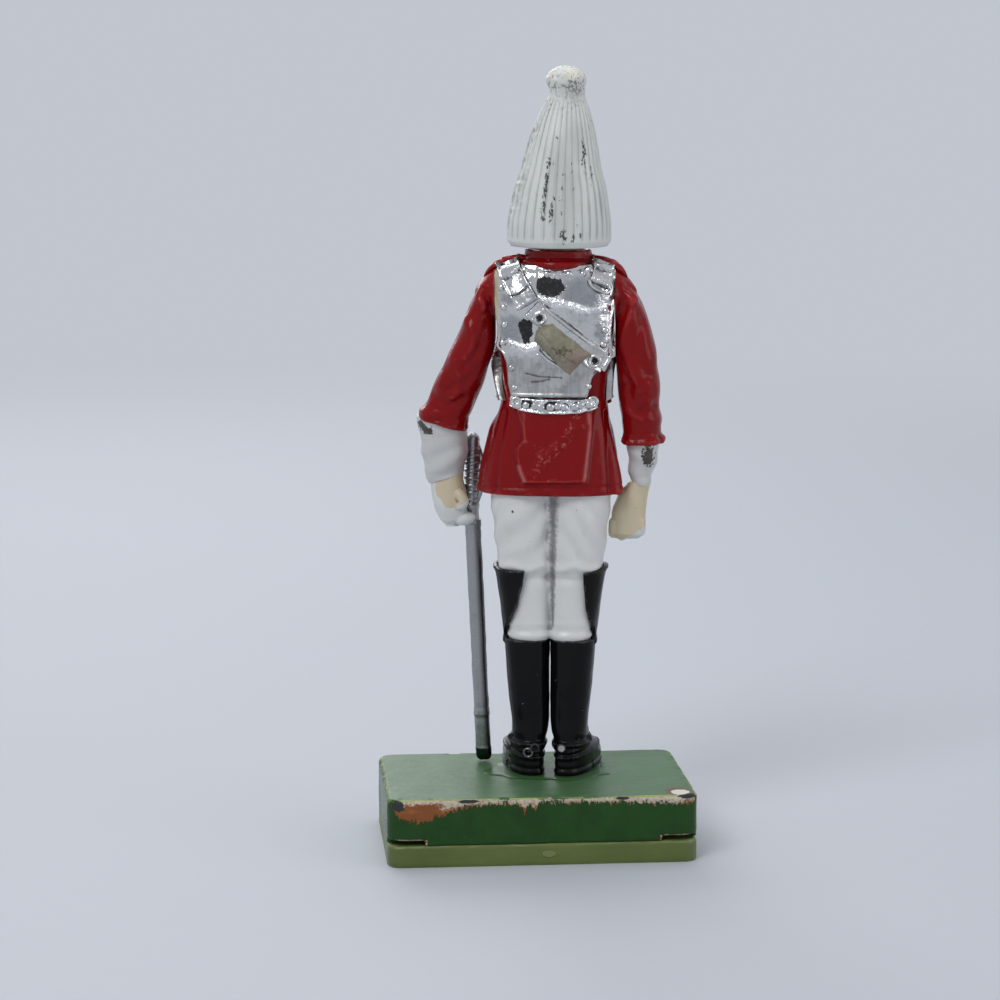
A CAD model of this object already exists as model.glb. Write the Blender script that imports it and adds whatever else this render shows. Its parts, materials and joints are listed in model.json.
"""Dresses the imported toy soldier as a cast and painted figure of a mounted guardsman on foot."""

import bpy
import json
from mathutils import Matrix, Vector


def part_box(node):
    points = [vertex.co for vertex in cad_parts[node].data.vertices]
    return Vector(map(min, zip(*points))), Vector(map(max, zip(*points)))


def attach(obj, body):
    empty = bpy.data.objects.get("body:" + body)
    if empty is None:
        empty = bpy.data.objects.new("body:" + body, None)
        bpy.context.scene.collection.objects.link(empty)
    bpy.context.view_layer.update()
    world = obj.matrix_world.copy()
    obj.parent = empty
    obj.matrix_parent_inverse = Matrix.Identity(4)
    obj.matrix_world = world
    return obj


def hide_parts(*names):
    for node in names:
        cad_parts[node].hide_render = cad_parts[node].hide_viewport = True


bl_info = {
    "name": "Cavalry Toy Soldier",
    "version": (1, 0, 0),
    "blender": (4, 5, 0),
    "location": "View3D > Sidebar > Soldier",
    "description": "Cast and painted toy soldier with a plated cuirass, a hanging plume and a green base",
    "category": "Object",
}

import itertools
import json
import math

import bmesh
import bpy
import numpy as np
from mathutils import Matrix, Vector

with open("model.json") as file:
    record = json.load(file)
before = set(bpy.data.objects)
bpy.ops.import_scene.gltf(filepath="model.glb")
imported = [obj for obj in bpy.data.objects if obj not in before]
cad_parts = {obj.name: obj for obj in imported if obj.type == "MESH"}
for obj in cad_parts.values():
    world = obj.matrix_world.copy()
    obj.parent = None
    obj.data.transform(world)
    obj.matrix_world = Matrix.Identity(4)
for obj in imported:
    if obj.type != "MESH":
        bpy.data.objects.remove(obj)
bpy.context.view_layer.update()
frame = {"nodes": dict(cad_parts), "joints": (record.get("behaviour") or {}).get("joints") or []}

MM = 0.001
JOINTS = {joint["name"]: joint for joint in frame["joints"]}
# The figure's left, its place on the base and its own frame in millimetres
ACROSS = Vector((-JOINTS["left_arm_swing"]["axis"][0], -JOINTS["left_arm_swing"]["axis"][1], 0)).normalized()
TURN = math.atan2(ACROSS.y, ACROSS.x)
NECK_X = -0.5
SOLE = Vector(JOINTS["head_turn"]["pos_m"]) - ACROSS * NECK_X * MM
SOLE.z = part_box("base_block")[1].z
FIGURE = Matrix.Translation(SOLE) @ Matrix.Rotation(TURN, 4, "Z") @ Matrix.Scale(MM, 4)
BASE = Matrix.Scale(MM, 4)

# Heights over the base's top, in millimetres
HEM, SHOULDER, PIVOT = 28.2, 50.6, 47.509
CHIN, BRIM, CROWN, CUFF, WRIST, PALM = 52.225, 57.925, 61.125, 34.6, 29.0, 24.4
KNEE = 13.7
# Places across the figure, and the breadths of the two arms
LEG_X, TORSO_X, ARM_X, LEFT_WIDE, RIGHT_WIDE = 0.149, -0.2, 5.8, 7.3, 4.6
# Front to back measures of sleeves and hands, and the slope of the left cuff about its middle
SLEEVE_DEEP, HAND_DEEP, CUFF_SLOPE, CUFF_MIDDLE = 5.0, 4.4, 0.27, 9.9


# Curves and noise

def curve(xs, ys, x):
    """Smooth curve through a table's points that doesn't overshoot them"""
    xs, ys = np.asarray(xs, float), np.asarray(ys, float)
    h, x = np.diff(xs), np.clip(x, xs[0], xs[-1])
    s = np.diff(ys) / h
    m = np.empty_like(ys)
    m[0], m[-1] = s[0], s[-1]
    level = s[:-1] * s[1:] > 0
    m[1:-1] = np.where(level, 2 * s[:-1] * s[1:] / np.where(level, s[:-1] + s[1:], 1), 0)
    i = np.clip(np.searchsorted(xs, x, side="right") - 1, 0, len(h) - 1)
    t = (x - xs[i]) / h[i]
    return ((1 + 2 * t) * (1 - t) ** 2 * ys[i] + t * (1 - t) ** 2 * h[i] * m[i]
            + t * t * (3 - 2 * t) * ys[i + 1] + t * t * (t - 1) * h[i] * m[i + 1])


def ease(x, low, high):
    """Smooth step from 0 at low to 1 at high"""
    t = np.clip((x - low) / (high - low), 0, 1)
    return t * t * (3 - 2 * t)


def bell(x, wide, y=0.0, tall=1.0):
    """Soft swell that is 1 in the middle and falls to 0 all round, along one direction or two"""
    return np.exp(-(x / wide) ** 2 - (y / tall) ** 2)


def grain(P, size, seed=0):
    """Smooth noise from -1 to 1, with lumps of a size in millimetres"""
    Q = P / np.asarray(size, float) + 100 + 17.3 * seed
    cell = np.floor(Q).astype(np.int64)
    F = Q - cell
    F = F * F * (3 - 2 * F)
    total = np.zeros(len(P))
    for corner in itertools.product((0, 1), repeat=3):
        c = cell + np.array(corner)
        h = (c[:, 0] * 73856093 ^ c[:, 1] * 19349663 ^ c[:, 2] * 83492791 ^ seed * 2654435) & 0xFFFFFFFF
        h = ((h ^ (h >> 13)) * 1274126177) & 0xFFFFFFFF
        h = (h ^ (h >> 16)) & 0xFFFFFFFF
        total += np.prod(np.where(corner, F, 1 - F), axis=1) * (h / 2147483648.0 - 1)
    return total


def to_line(points, Q):
    """Distance of points from a polyline"""
    points, best = np.asarray(points, float), np.full(len(Q), 1e9)
    for a, b in zip(points[:-1], points[1:]):
        e = b - a
        t = np.clip((Q - a) @ e / max(e @ e, 1e-9), 0, 1)
        best = np.minimum(best, np.linalg.norm(Q - a - t[:, None] * e, axis=1))
    return best


def view(P):
    """Places across and up, as they are seen from behind"""
    return P[:, [0, 2]]


def oval(Q, centre, radii):
    """1 in the middle of an oval, 0 at its edge and below 0 outside"""
    return 1 - np.linalg.norm((Q - centre) / radii, axis=1)


def stroke(line, P, wide, start=1.0):
    """Mark along a line seen from behind, from its start value (1 at most) down to 0"""
    return np.clip(start - to_line(line, view(P)) / wide, 0, 1)


def within(points, Q):
    """Distance inside a closed outline, negative outside it"""
    points = np.asarray(points, float)
    inside = np.zeros(len(Q), bool)
    for a, b in zip(points, np.roll(points, -1, 0)):
        rise = b[1] - a[1] if abs(b[1] - a[1]) > 1e-9 else 1e-9
        inside ^= ((a[1] > Q[:, 1]) != (b[1] > Q[:, 1])) & (Q[:, 0] < (b[0] - a[0]) * (Q[:, 1] - a[1]) / rise + a[0])
    gap = to_line(np.vstack([points, points[:1]]), Q)
    return np.where(inside, gap, -gap)


def spline(points, count):
    """Evenly spaced points on a smooth line through the given ones"""
    P = np.asarray(points, float)
    d = np.concatenate([[0], np.cumsum(np.linalg.norm(np.diff(P, axis=0), axis=1))])
    s = np.linspace(0, d[-1], count)
    return np.stack([curve(d, P[:, k], s) for k in range(P.shape[1])], axis=1)


# Closed meshes, each a pair of points and faces in millimetres

def loft(grid):
    """Closed skin through a stack of rings"""
    grid = np.asarray(grid, float)
    m, n = grid.shape[:2]
    k, i = np.meshgrid(np.arange(m - 1), np.arange(n), indexing="ij")
    a, b = k * n + i, k * n + (i + 1) % n
    faces = np.stack([a, b, b + n, a + n], -1).reshape(-1, 4).tolist()
    return grid.reshape(-1, 3), faces + [list(range(n))[::-1], list(range((m - 1) * n, m * n))]


def tube(path, radii, sides=20, flat=1.0):
    """Round or flattened tube along a path"""
    path = np.asarray(path, float)
    radii = np.broadcast_to(radii, len(path))
    t = np.gradient(path, axis=0)
    t /= np.linalg.norm(t, axis=1)[:, None]
    up = np.eye(3)[np.abs(t).max(0).argmin()]
    e = np.cross(up, t)
    e /= np.linalg.norm(e, axis=1)[:, None]
    f = np.cross(t, e)
    a = np.linspace(0, 2 * np.pi, sides, endpoint=False)
    return loft(path[:, None] + radii[:, None, None]
                * (np.cos(a)[None, :, None] * e[:, None] + flat * np.sin(a)[None, :, None] * f[:, None]))


def finger(path, r, ends=0.55):
    """Tube with rounded ends through a few points"""
    P = spline(path, 24)
    s = np.linspace(0, 1, 24)
    cap = min(0.5, ends * np.max(r) * 2 / np.linalg.norm(np.diff(P, axis=0), axis=1).sum())
    x = np.clip(np.minimum(s, 1 - s) / cap, 0, 1)
    radii = np.interp(s, np.linspace(0, 1, np.size(r)), np.atleast_1d(r)) * np.sqrt(np.clip(1 - (1 - x) ** 2, 0.03, 1))
    return tube(P, radii, 16)


def ball(centre, radii, n=28, tilt=0.0):
    """Ellipsoid, tilted about the side to side axis by degrees"""
    h = np.linspace(-89, 89, n)[:, None] * np.pi / 180
    a = np.linspace(0, 2 * np.pi, n, endpoint=False)[None]
    r = np.broadcast_to(radii, 3)
    P = np.stack([r[0] * np.cos(h) * np.cos(a), r[1] * np.cos(h) * np.sin(a), r[2] * np.sin(h) + 0 * a], -1)
    c, s = math.cos(math.radians(tilt)), math.sin(math.radians(tilt))
    P[..., 1], P[..., 2] = c * P[..., 1] - s * P[..., 2], s * P[..., 1] + c * P[..., 2]
    return loft(P + np.asarray(centre, float))


def lathe(profile, centre=(0, 0, 0), n=96, along="Z"):
    """Turned form from radius and height pairs"""
    a = np.linspace(0, 2 * np.pi, n, endpoint=False)
    rings = np.array([[(max(r, 1e-3) * np.cos(t), max(r, 1e-3) * np.sin(t), z) for t in a] for r, z in profile])
    if along == "X":
        rings = rings[..., [2, 0, 1]]
    if along == "Y":
        rings = rings[..., [1, 2, 0]]
    return loft(rings + np.asarray(centre, float))


def slab(half_w, half_d, corner, heights, at=(0, 0), n=14):
    """Block with rounded upright corners: its heights are height and inset pairs"""
    rings = []
    for z, inset in heights:
        r = max(corner - inset, 0.05)
        rings.append([(sx * (half_w - corner) + r * math.cos(a) + at[0],
                       sy * (half_d - corner) + r * math.sin(a) + at[1], z)
                      for sx, sy, a0 in ((1, 1, 0), (-1, 1, 90), (-1, -1, 180), (1, -1, 270))
                      for a in np.radians(np.linspace(a0, a0 + 90, n))])
    return loft(rings)


def facing(grid):
    """Unit normals of an open grid"""
    d = np.cross(np.gradient(grid, axis=1), np.gradient(grid, axis=0))
    return d / np.maximum(np.linalg.norm(d, axis=-1, keepdims=True), 1e-9)


def borders(grid):
    """Distance of an open grid's points from its four sides: start and end of rows, low and high row"""
    across = np.linalg.norm(np.diff(grid, axis=1), axis=-1).cumsum(1)
    up = np.linalg.norm(np.diff(grid, axis=0), axis=-1).cumsum(0)
    across = np.concatenate([np.zeros((len(grid), 1)), across], 1)
    up = np.concatenate([np.zeros((1, grid.shape[1])), up], 0)
    return across, across[:, -1:] - across, up, up[-1:] - up


def steps(n, length, rim=0.3):
    """Shares of a length, closer together near both ends"""
    e = rim / length * np.array([0, 0.04, 0.12, 0.25, 0.45, 0.7, 1])
    return np.concatenate([e, np.linspace(e[-1], 1 - e[-1], n)[1:-1], 1 - e[::-1]])


def sheath(grid, height, core=(-0.2, 0, 43)):
    """Closed shell over an open grid, whose outer face stands off away from a core by a height"""
    m, n = grid.shape[:2]
    outward = np.sign((facing(grid) * (grid - np.asarray(core))).sum(-1).mean())
    outer = grid + facing(grid) * outward * np.asarray(height)[..., None]
    k, i = np.meshgrid(np.arange(m - 1), np.arange(n - 1), indexing="ij")
    a = (k * n + i).reshape(-1)
    face = np.stack([a, a + 1, a + n + 1, a + n], -1)
    rim = np.concatenate([np.arange(n), np.arange(1, m) * n + n - 1, (m - 1) * n + np.arange(n - 1)[::-1],
                          np.arange(1, m - 1)[::-1] * n])
    nxt = np.roll(rim, -1)
    walls = np.stack([rim, nxt, nxt + m * n, rim + m * n], -1)
    return (np.concatenate([grid.reshape(-1, 3), outer.reshape(-1, 3)]),
            np.concatenate([face[:, ::-1], face + m * n, walls]).tolist())


def bead(high, gap, inner, outer, start):
    """Height of a raised rim that begins at the border and ends between two distances from it"""
    return high * (1 - ease(gap, inner, outer)) * ease(gap, 0, start)


def rounded(gap, r):
    """Height of a rounded edge at a distance from the border, from 0 to 1"""
    return np.sqrt(np.clip(1 - (1 - np.clip(gap / r, 0, 1)) ** 2, 0, 1))


def mirrored(part, x=0.0):
    """The same closed mesh on the other side of an upright plane"""
    P = part[0].copy()
    P[:, 0] = 2 * x - P[:, 0]
    return P, [face[::-1] for face in part[1]]


class Form:
    """Body given by rows of height, centre, half width, reach to the front and back, and squareness"""

    def __init__(self, shares, size, base=0.0, x=0.0, side=1):
        rows = np.array(shares, float)
        scale = np.ones(rows.shape[1])
        scale[:6] = [size[2], size[0], size[1], size[0], size[1], size[1]]
        self.rows = rows * scale
        self.base, self.x, self.side = base, x, side

    def column(self, k, z):
        """One of the rows' values at a height"""
        return curve(self.rows[:, 0], self.rows[:, k], np.asarray(z, float) - self.base)

    def at(self, a, z, off=0.0):
        """Point at a side angle and a height, standing off the form"""
        a, z = np.broadcast_arrays(np.radians(np.asarray(a, float)), np.asarray(z, float))
        p = self.column(6, z)
        ux = np.sign(np.cos(a)) * np.abs(np.cos(a)) ** (2 / p)
        uy = np.sign(np.sin(a)) * np.abs(np.sin(a)) ** (2 / p)
        reach = np.where(uy > 0, self.column(5, z), self.column(4, z)) + off
        x = self.column(1, z) + (self.column(3, z) + off) * ux
        y = self.column(2, z) + reach * uy
        if self.rows.shape[1] > 7:
            x = x + self.column(7, z) * (1.5 - y)
        return np.stack([self.x + self.side * x, y, z], -1)

    def angle(self, x, z, off=0.0, back=1):
        """Side angle of the point at a distance x from the form's middle"""
        p = self.column(6, z)
        u = np.clip(x / (self.column(3, z) + off), -0.9999, 0.9999)
        return back * np.degrees(np.arccos(np.sign(u) * np.abs(u) ** (p / 2)))

    def depth(self, x, z, off=0.0, back=1):
        """Point on the back or front at a place across and a height"""
        x, z = np.broadcast_arrays(np.asarray(x, float), np.asarray(z, float))
        return self.at(self.angle(x - self.x - self.column(1, z), z, off, back), z, off)

    def skin(self, zs, n=128, off=0.0):
        """Rings of points at some heights"""
        return self.at(np.linspace(0, 360, n, endpoint=False)[None], np.asarray(zs)[:, None], off)


def limb(shares, spread, depth, length, base, side):
    """Sleeve, gauntlet or palm from rows of height, inner and outer edge, centre and half depth"""
    rows = [[r[0], (r[1] + r[2]) / 2 * spread + ARM_X, r[3] * depth, (r[2] - r[1]) / 2 * spread,
             r[4] * depth, r[4] * depth, 2.3] for r in shares]
    return Form(rows, (1, 1, length), base, TORSO_X, side)


# Objects

def joined(parts):
    """Points and faces of several closed meshes together"""
    points, faces, start = [], [], 0
    for P, F in parts:
        points.append(np.asarray(P, float))
        faces += [[v + start for v in face] for face in F]
        start += len(P)
    return np.concatenate(points), faces


def read(mesh, name="vertices", key="co", width=3):
    """Values of all points or edges of a mesh"""
    data = np.zeros(len(getattr(mesh, name)) * width, np.int64 if key == "vertices" else np.float32)
    getattr(mesh, name).foreach_get(key, data)
    return data.reshape(-1, width) if width > 1 else data


def linked(name, mesh):
    """New object in the scene, from its mesh, lamp or camera"""
    obj = bpy.data.objects.new(name, mesh)
    bpy.context.scene.collection.objects.link(obj)
    return obj


def settled(obj):
    """Replaces an object's mesh by its evaluated one and drops the modifiers"""
    graph = bpy.context.evaluated_depsgraph_get()
    mesh = bpy.data.meshes.new_from_object(obj.evaluated_get(graph), depsgraph=graph)
    obj.modifiers.clear()
    obj.data = mesh
    mesh.name = obj.name
    return obj


def smoothed(values, edges, rounds, weight=0.5):
    """Averages a value or a point with its neighbours"""
    values = np.asarray(values, float)
    flat = values.reshape(len(values), -1)
    count = np.maximum(np.bincount(edges.reshape(-1), minlength=len(values)), 1)[:, None]
    for _ in range(rounds):
        total = np.stack([np.bincount(edges[:, 0], flat[edges[:, 1], k], len(values))
                          + np.bincount(edges[:, 1], flat[edges[:, 0], k], len(values))
                          for k in range(flat.shape[1])], 1)
        flat = flat + weight * (total / count - flat)
    return flat.reshape(values.shape)


def cast(name, parts, step=0.0, relax=2, shape=None, marks=None, place=FIGURE, sharp=45):
    """Piece from closed meshes, drawn into one skin where a step is given, shaped along its normals
    and marked with where its surface is hollow or wears"""
    P, faces = joined(parts)
    mesh = bpy.data.meshes.new(name)
    mesh.from_pydata(P.tolist(), [], faces)
    mesh.validate()
    obj = linked(name, mesh)
    if step:
        skin = obj.modifiers.new("skin", "REMESH")
        skin.mode, skin.voxel_size, skin.adaptivity = "VOXEL", step, 0.0
        settled(obj)
    else:
        sheet = bmesh.new()
        sheet.from_mesh(mesh)
        bmesh.ops.remove_doubles(sheet, verts=sheet.verts, dist=1e-4)
        bmesh.ops.recalc_face_normals(sheet, faces=sheet.faces)
        sheet.to_mesh(mesh)
        sheet.free()
    mesh = obj.data
    edges = read(mesh, "edges", "vertices", 2)
    P = read(mesh).astype(float)
    normals = lambda: read(mesh, "vertex_normals", "vector").astype(float)

    def put(points):
        mesh.vertices.foreach_set("co", points.astype(np.float32).reshape(-1))
        mesh.update()

    if step:
        for _ in range(relax):
            P = smoothed(P, edges, 1, 0.5)
            P = smoothed(P, edges, 1, -0.52)
        put(P)
    if shape:
        N = normals()
        P = P + N * shape(P, N)[:, None]
        put(P)
    N = normals()
    span = np.maximum(np.linalg.norm(P[edges[:, 0]] - P[edges[:, 1]], axis=1).mean(), 1e-6)
    hollow = ((smoothed(P, edges, 2, 1.0) - P) * N).sum(1) / span
    fields = {"hollow": np.clip(smoothed(hollow, edges, 3) * 4, -1, 1)}
    for key, field in (marks or {}).items():
        fields[key] = field(P, N)
    for key, values in fields.items():
        layer = mesh.attributes.new(key, "FLOAT", "POINT")
        layer.data.foreach_set("value", np.asarray(values, np.float32))
    mesh.transform(place)
    mesh.update()
    mesh.polygons.foreach_set("use_smooth", np.ones(len(mesh.polygons), bool))
    mesh.set_sharp_from_angle(angle=math.radians(sharp))
    return obj


def repeat(name, places, aims, sizes, kind, radius, depth, count=16):
    """Studs, rings or links set out on points by a node tree, and turned into a plain mesh"""
    mesh = bpy.data.meshes.new(name)
    mesh.from_pydata([tuple(map(float, p)) for p in places], [], [])
    for key, kind_of, field, values, shape in (("aim", "FLOAT_VECTOR", "vector", aims, (len(places), 3)),
                                               ("share", "FLOAT", "value", sizes, len(places))):
        values = np.broadcast_to(np.asarray(values, np.float32), shape)
        layer = mesh.attributes.new(key, kind_of, "POINT")
        layer.data.foreach_set(field, np.ascontiguousarray(values).reshape(-1))
    obj = linked(name, mesh)
    tree = bpy.data.node_groups.new(name, "GeometryNodeTree")
    face = tree.interface
    face.new_socket("Geometry", in_out="INPUT", socket_type="NodeSocketGeometry")
    sockets = {}
    for label in ("Radius", "Depth"):
        sockets[label] = face.new_socket(label, in_out="INPUT", socket_type="NodeSocketFloat")
    face.new_socket("Geometry", in_out="OUTPUT", socket_type="NodeSocketGeometry")

    def add(kind_of, settings=None, links=None):
        node = tree.nodes.new(kind_of)
        for key, value in (settings or {}).items():
            setattr(node, key, value)
        for key, value in (links or {}).items():
            if isinstance(value, bpy.types.NodeSocket):
                tree.links.new(value, node.inputs[key])
            else:
                node.inputs[key].default_value = value
        return node

    source = add("NodeGroupInput")
    if kind == "stud":
        unit = add("GeometryNodeMeshUVSphere", None, {"Segments": count, "Rings": count // 2, "Radius": 1.0})
        size = add("ShaderNodeCombineXYZ", None, {0: source.outputs["Radius"], 1: source.outputs["Radius"],
                                                  2: source.outputs["Depth"]})
        unit = add("GeometryNodeTransform", None, {"Geometry": unit.outputs[0], "Scale": size.outputs[0]})
    else:
        ring = add("GeometryNodeCurvePrimitiveCircle", None, {"Resolution": 20, "Radius": source.outputs["Radius"]})
        wire = add("GeometryNodeCurvePrimitiveCircle", None, {"Resolution": 10, "Radius": source.outputs["Depth"]})
        unit = add("GeometryNodeCurveToMesh", None, {"Curve": ring.outputs[0], "Profile Curve": wire.outputs[0]})
        if kind == "link":
            unit = add("GeometryNodeTransform", None, {"Geometry": unit.outputs[0], "Scale": (1.45, 0.8, 1.0)})
    aim = add("GeometryNodeInputNamedAttribute", {"data_type": "FLOAT_VECTOR"}, {"Name": "aim"})
    share = add("GeometryNodeInputNamedAttribute", {"data_type": "FLOAT"}, {"Name": "share"})
    turn = add("FunctionNodeAlignRotationToVector", {"axis": "X" if kind == "link" else "Z"},
               {"Vector": aim.outputs[0]})
    if kind == "link":
        index = add("GeometryNodeInputIndex")
        odd = add("ShaderNodeMath", {"operation": "MODULO"}, {0: index.outputs[0], 1: 2.0})
        roll = add("ShaderNodeMath", {"operation": "MULTIPLY"}, {0: odd.outputs[0], 1: math.pi / 2})
        angle = add("ShaderNodeCombineXYZ", None, {0: roll.outputs[0]})
        turn = add("FunctionNodeRotateRotation", {"rotation_space": "LOCAL"},
                   {0: turn.outputs[0], 1: angle.outputs[0]})
    points = add("GeometryNodeMeshToPoints", None, {"Mesh": source.outputs[0]})
    set_out = add("GeometryNodeInstanceOnPoints", None, {
        "Points": points.outputs[0], "Instance": unit.outputs[0], "Rotation": turn.outputs[0],
        "Scale": share.outputs[0]})
    solid = add("GeometryNodeRealizeInstances", None, {0: set_out.outputs[0]})
    add("NodeGroupOutput", None, {0: solid.outputs[0]})
    layout = obj.modifiers.new("set out", "NODES")
    layout.node_group = tree
    layout[sockets["Radius"].identifier] = float(radius)
    layout[sockets["Depth"].identifier] = float(depth)
    settled(obj)
    for key in ("aim", "share"):
        if key in obj.data.attributes:
            obj.data.attributes.remove(obj.data.attributes[key])
    obj.data.transform(FIGURE)
    obj.data.polygons.foreach_set("use_smooth", np.ones(len(obj.data.polygons), bool))
    obj.data.update()
    return obj


def dress(obj, body, slot, material, *replaced):
    """Gives a piece its material, its body, its slot and the solids that it stands for"""
    obj.data.materials.clear()
    obj.data.materials.append(material)
    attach(obj, body)
    if replaced:
        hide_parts(*replaced)
    return obj


def plate_dress(obj, *replaced):
    """Dresses one of the plated pieces of cuirass, straps and belts"""
    return dress(obj, "figure", "cuirass_chrome", bpy.data.materials["plating"], *replaced)


# Paint

class Value:
    """A number that varies over a surface, for shader maths in plain expressions"""

    def __init__(self, paint, socket):
        self.paint, self.socket = paint, socket

    def maths(self, operation, a, b):
        node = self.paint.add("ShaderNodeMath", {"operation": operation}, {0: a, 1: b})
        return Value(self.paint, node.outputs[0])

    def __add__(self, other):
        return self.maths("ADD", self, other)

    def __sub__(self, other):
        return self.maths("SUBTRACT", self, other)

    def __rsub__(self, other):
        return self.maths("SUBTRACT", other, self)

    def __mul__(self, other):
        return self.maths("MULTIPLY", self, other)

    __radd__, __rmul__ = __add__, __mul__

    def most(self, other):
        return self.maths("MAXIMUM", self, other)

    def over(self, low, high):
        """Smooth step from 0 at low to 1 at high"""
        node = self.paint.add("ShaderNodeMapRange", {"interpolation_type": "SMOOTHSTEP"},
                              {"Value": self, "From Min": min(low, high), "From Max": max(low, high),
                               "To Min": float(low > high), "To Max": float(low < high)})
        return Value(self.paint, node.outputs[0])


class Paint:
    """A procedural material on the figure's own millimetres"""

    def __init__(self, name, tone, place=FIGURE):
        self.tone = tone
        self.material = bpy.data.materials.new(name)
        self.material.use_nodes = True
        self.tree = self.material.node_tree
        self.tree.nodes.clear()
        back = place.inverted()
        self.place = self.add("ShaderNodeMapping", {"vector_type": "POINT"}, {
            "Vector": self.add("ShaderNodeTexCoord").outputs["Object"], "Location": back.to_translation(),
            "Rotation": back.to_euler(), "Scale": (1 / MM,) * 3}).outputs[0]

    def add(self, kind, settings=None, sockets=None):
        """Any node: its type, its settings and the values or links of its sockets"""
        node = self.tree.nodes.new(kind)
        for key, value in (settings or {}).items():
            setattr(node, key, value)
        for key, value in (sockets or {}).items():
            value = getattr(value, "socket", value)
            if isinstance(value, bpy.types.NodeSocket):
                self.tree.links.new(value, node.inputs[key])
            else:
                node.inputs[key].default_value = value
        return node

    def noise(self, size, detail=3.0, stretch=(1, 1, 1), rough=0.55, seed=0.0):
        """Noise from 0 to 1, with lumps of a size in millimetres"""
        spread = self.add("ShaderNodeMapping", {"vector_type": "POINT"}, {
            "Vector": self.place, "Location": (seed, seed, seed),
            "Scale": tuple(1 / (size * s) for s in stretch)})
        node = self.add("ShaderNodeTexNoise", {"noise_dimensions": "3D"}, {
            "Vector": spread.outputs[0], "Scale": 1.0, "Detail": detail, "Roughness": rough})
        return Value(self, node.outputs[0])

    def mark(self, name):
        """Value painted on the piece's own points"""
        node = self.add("ShaderNodeAttribute", {"attribute_type": "GEOMETRY", "attribute_name": name})
        return Value(self, node.outputs["Fac"])

    def spot(self, centre, radii):
        """1 in the middle of an oval place, falling to 0 at its edge and below 0 outside"""
        gap = self.add("ShaderNodeVectorMath", {"operation": "SUBTRACT"}, {0: self.place, 1: tuple(centre)})
        gap = self.add("ShaderNodeVectorMath", {"operation": "DIVIDE"}, {0: gap.outputs[0], 1: tuple(radii)})
        gap = self.add("ShaderNodeVectorMath", {"operation": "LENGTH"}, {0: gap.outputs[0]})
        return 1 - Value(self, gap.outputs["Value"])

    def mix(self, share, a, b):
        """Colour a, going to b where the share is 1"""
        a, b = (c if isinstance(c, bpy.types.NodeSocket) else tuple(c) + (1.0,) for c in (a, b))
        node = self.add("ShaderNodeMix", {"data_type": "RGBA", "blend_type": "MIX", "clamp_factor": True},
                        {0: share, 6: a, 7: b})
        return node.outputs[2]

    def coat(self, share, colour):
        """Lays a colour over the ones before it, where the share is 1"""
        self.tone = self.mix(share, self.tone, colour)

    def done(self, roughness, bumps=(), **shader):
        """Closes the material with its shader and its bumps, each a height and its depth in millimetres"""
        sockets = {"Base Color": self.tone, "Roughness": roughness}
        sockets.update({key.replace("_", " ").title().replace("Ior", "IOR"): value for key, value in shader.items()})
        normal = None
        for height, deep in bumps:
            links = {"Height": height, "Distance": deep * MM, "Strength": 1.0}
            if normal:
                links["Normal"] = normal
            normal = self.add("ShaderNodeBump", None, links).outputs[0]
        if normal:
            sockets["Normal"] = normal
        body = self.add("ShaderNodeBsdfPrincipled", None, sockets)
        self.add("ShaderNodeOutputMaterial", None, {"Surface": body.outputs[0]})
        return self.material


def dim(colour, share):
    """A darker tone of a colour"""
    return tuple(share * channel for channel in colour)


# Sizes and colours that can be changed in the sidebar

def colour(name, description, value):
    return bpy.props.FloatVectorProperty(name=name, description=description, default=value, size=3,
                                         subtype="COLOR", min=0.0, max=1.0)


def length(name, description, value):
    return bpy.props.FloatProperty(name=name, description=description, default=value * MM, min=0.0,
                                   subtype="DISTANCE", unit="LENGTH", precision=5)


class SoldierSizes(bpy.types.PropertyGroup):
    """Sizes of the soldier's modelled detail"""
    skin: length("Skin step", "Step of the drawn skins of body, limbs and boots", 0.14)
    fine: length("Fine step", "Step of the drawn skins of the head, the hands and the helmet", 0.09)
    base: length("Base step", "Step of the drawn skins of the base", 0.2)
    rim: length("Plate rim", "Height of the raised rim round the plates", 0.1)
    flute: length("Flute depth", "Depth of the grooves between the plume's strands", 0.18)
    rivet: length("Rivet radius", "Radius of the rivets along the plates", 0.33)
    boss: length("Boss radius", "Radius of the bosses along the waist belt", 0.42)
    fold: length("Fold height", "Height of the folds in the sleeves and the skirt", 0.3)
    puddle: length("Paint pool", "Thickness of the green paint round the boots", 0.14)
    flutes: bpy.props.IntProperty(name="Flutes", description="Number of flutes round the plume",
                                  default=34, min=12, max=44)
    bosses: bpy.props.IntProperty(name="Bosses", description="Number of bosses on the belt's back",
                                  default=10, min=4, max=20)


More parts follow.
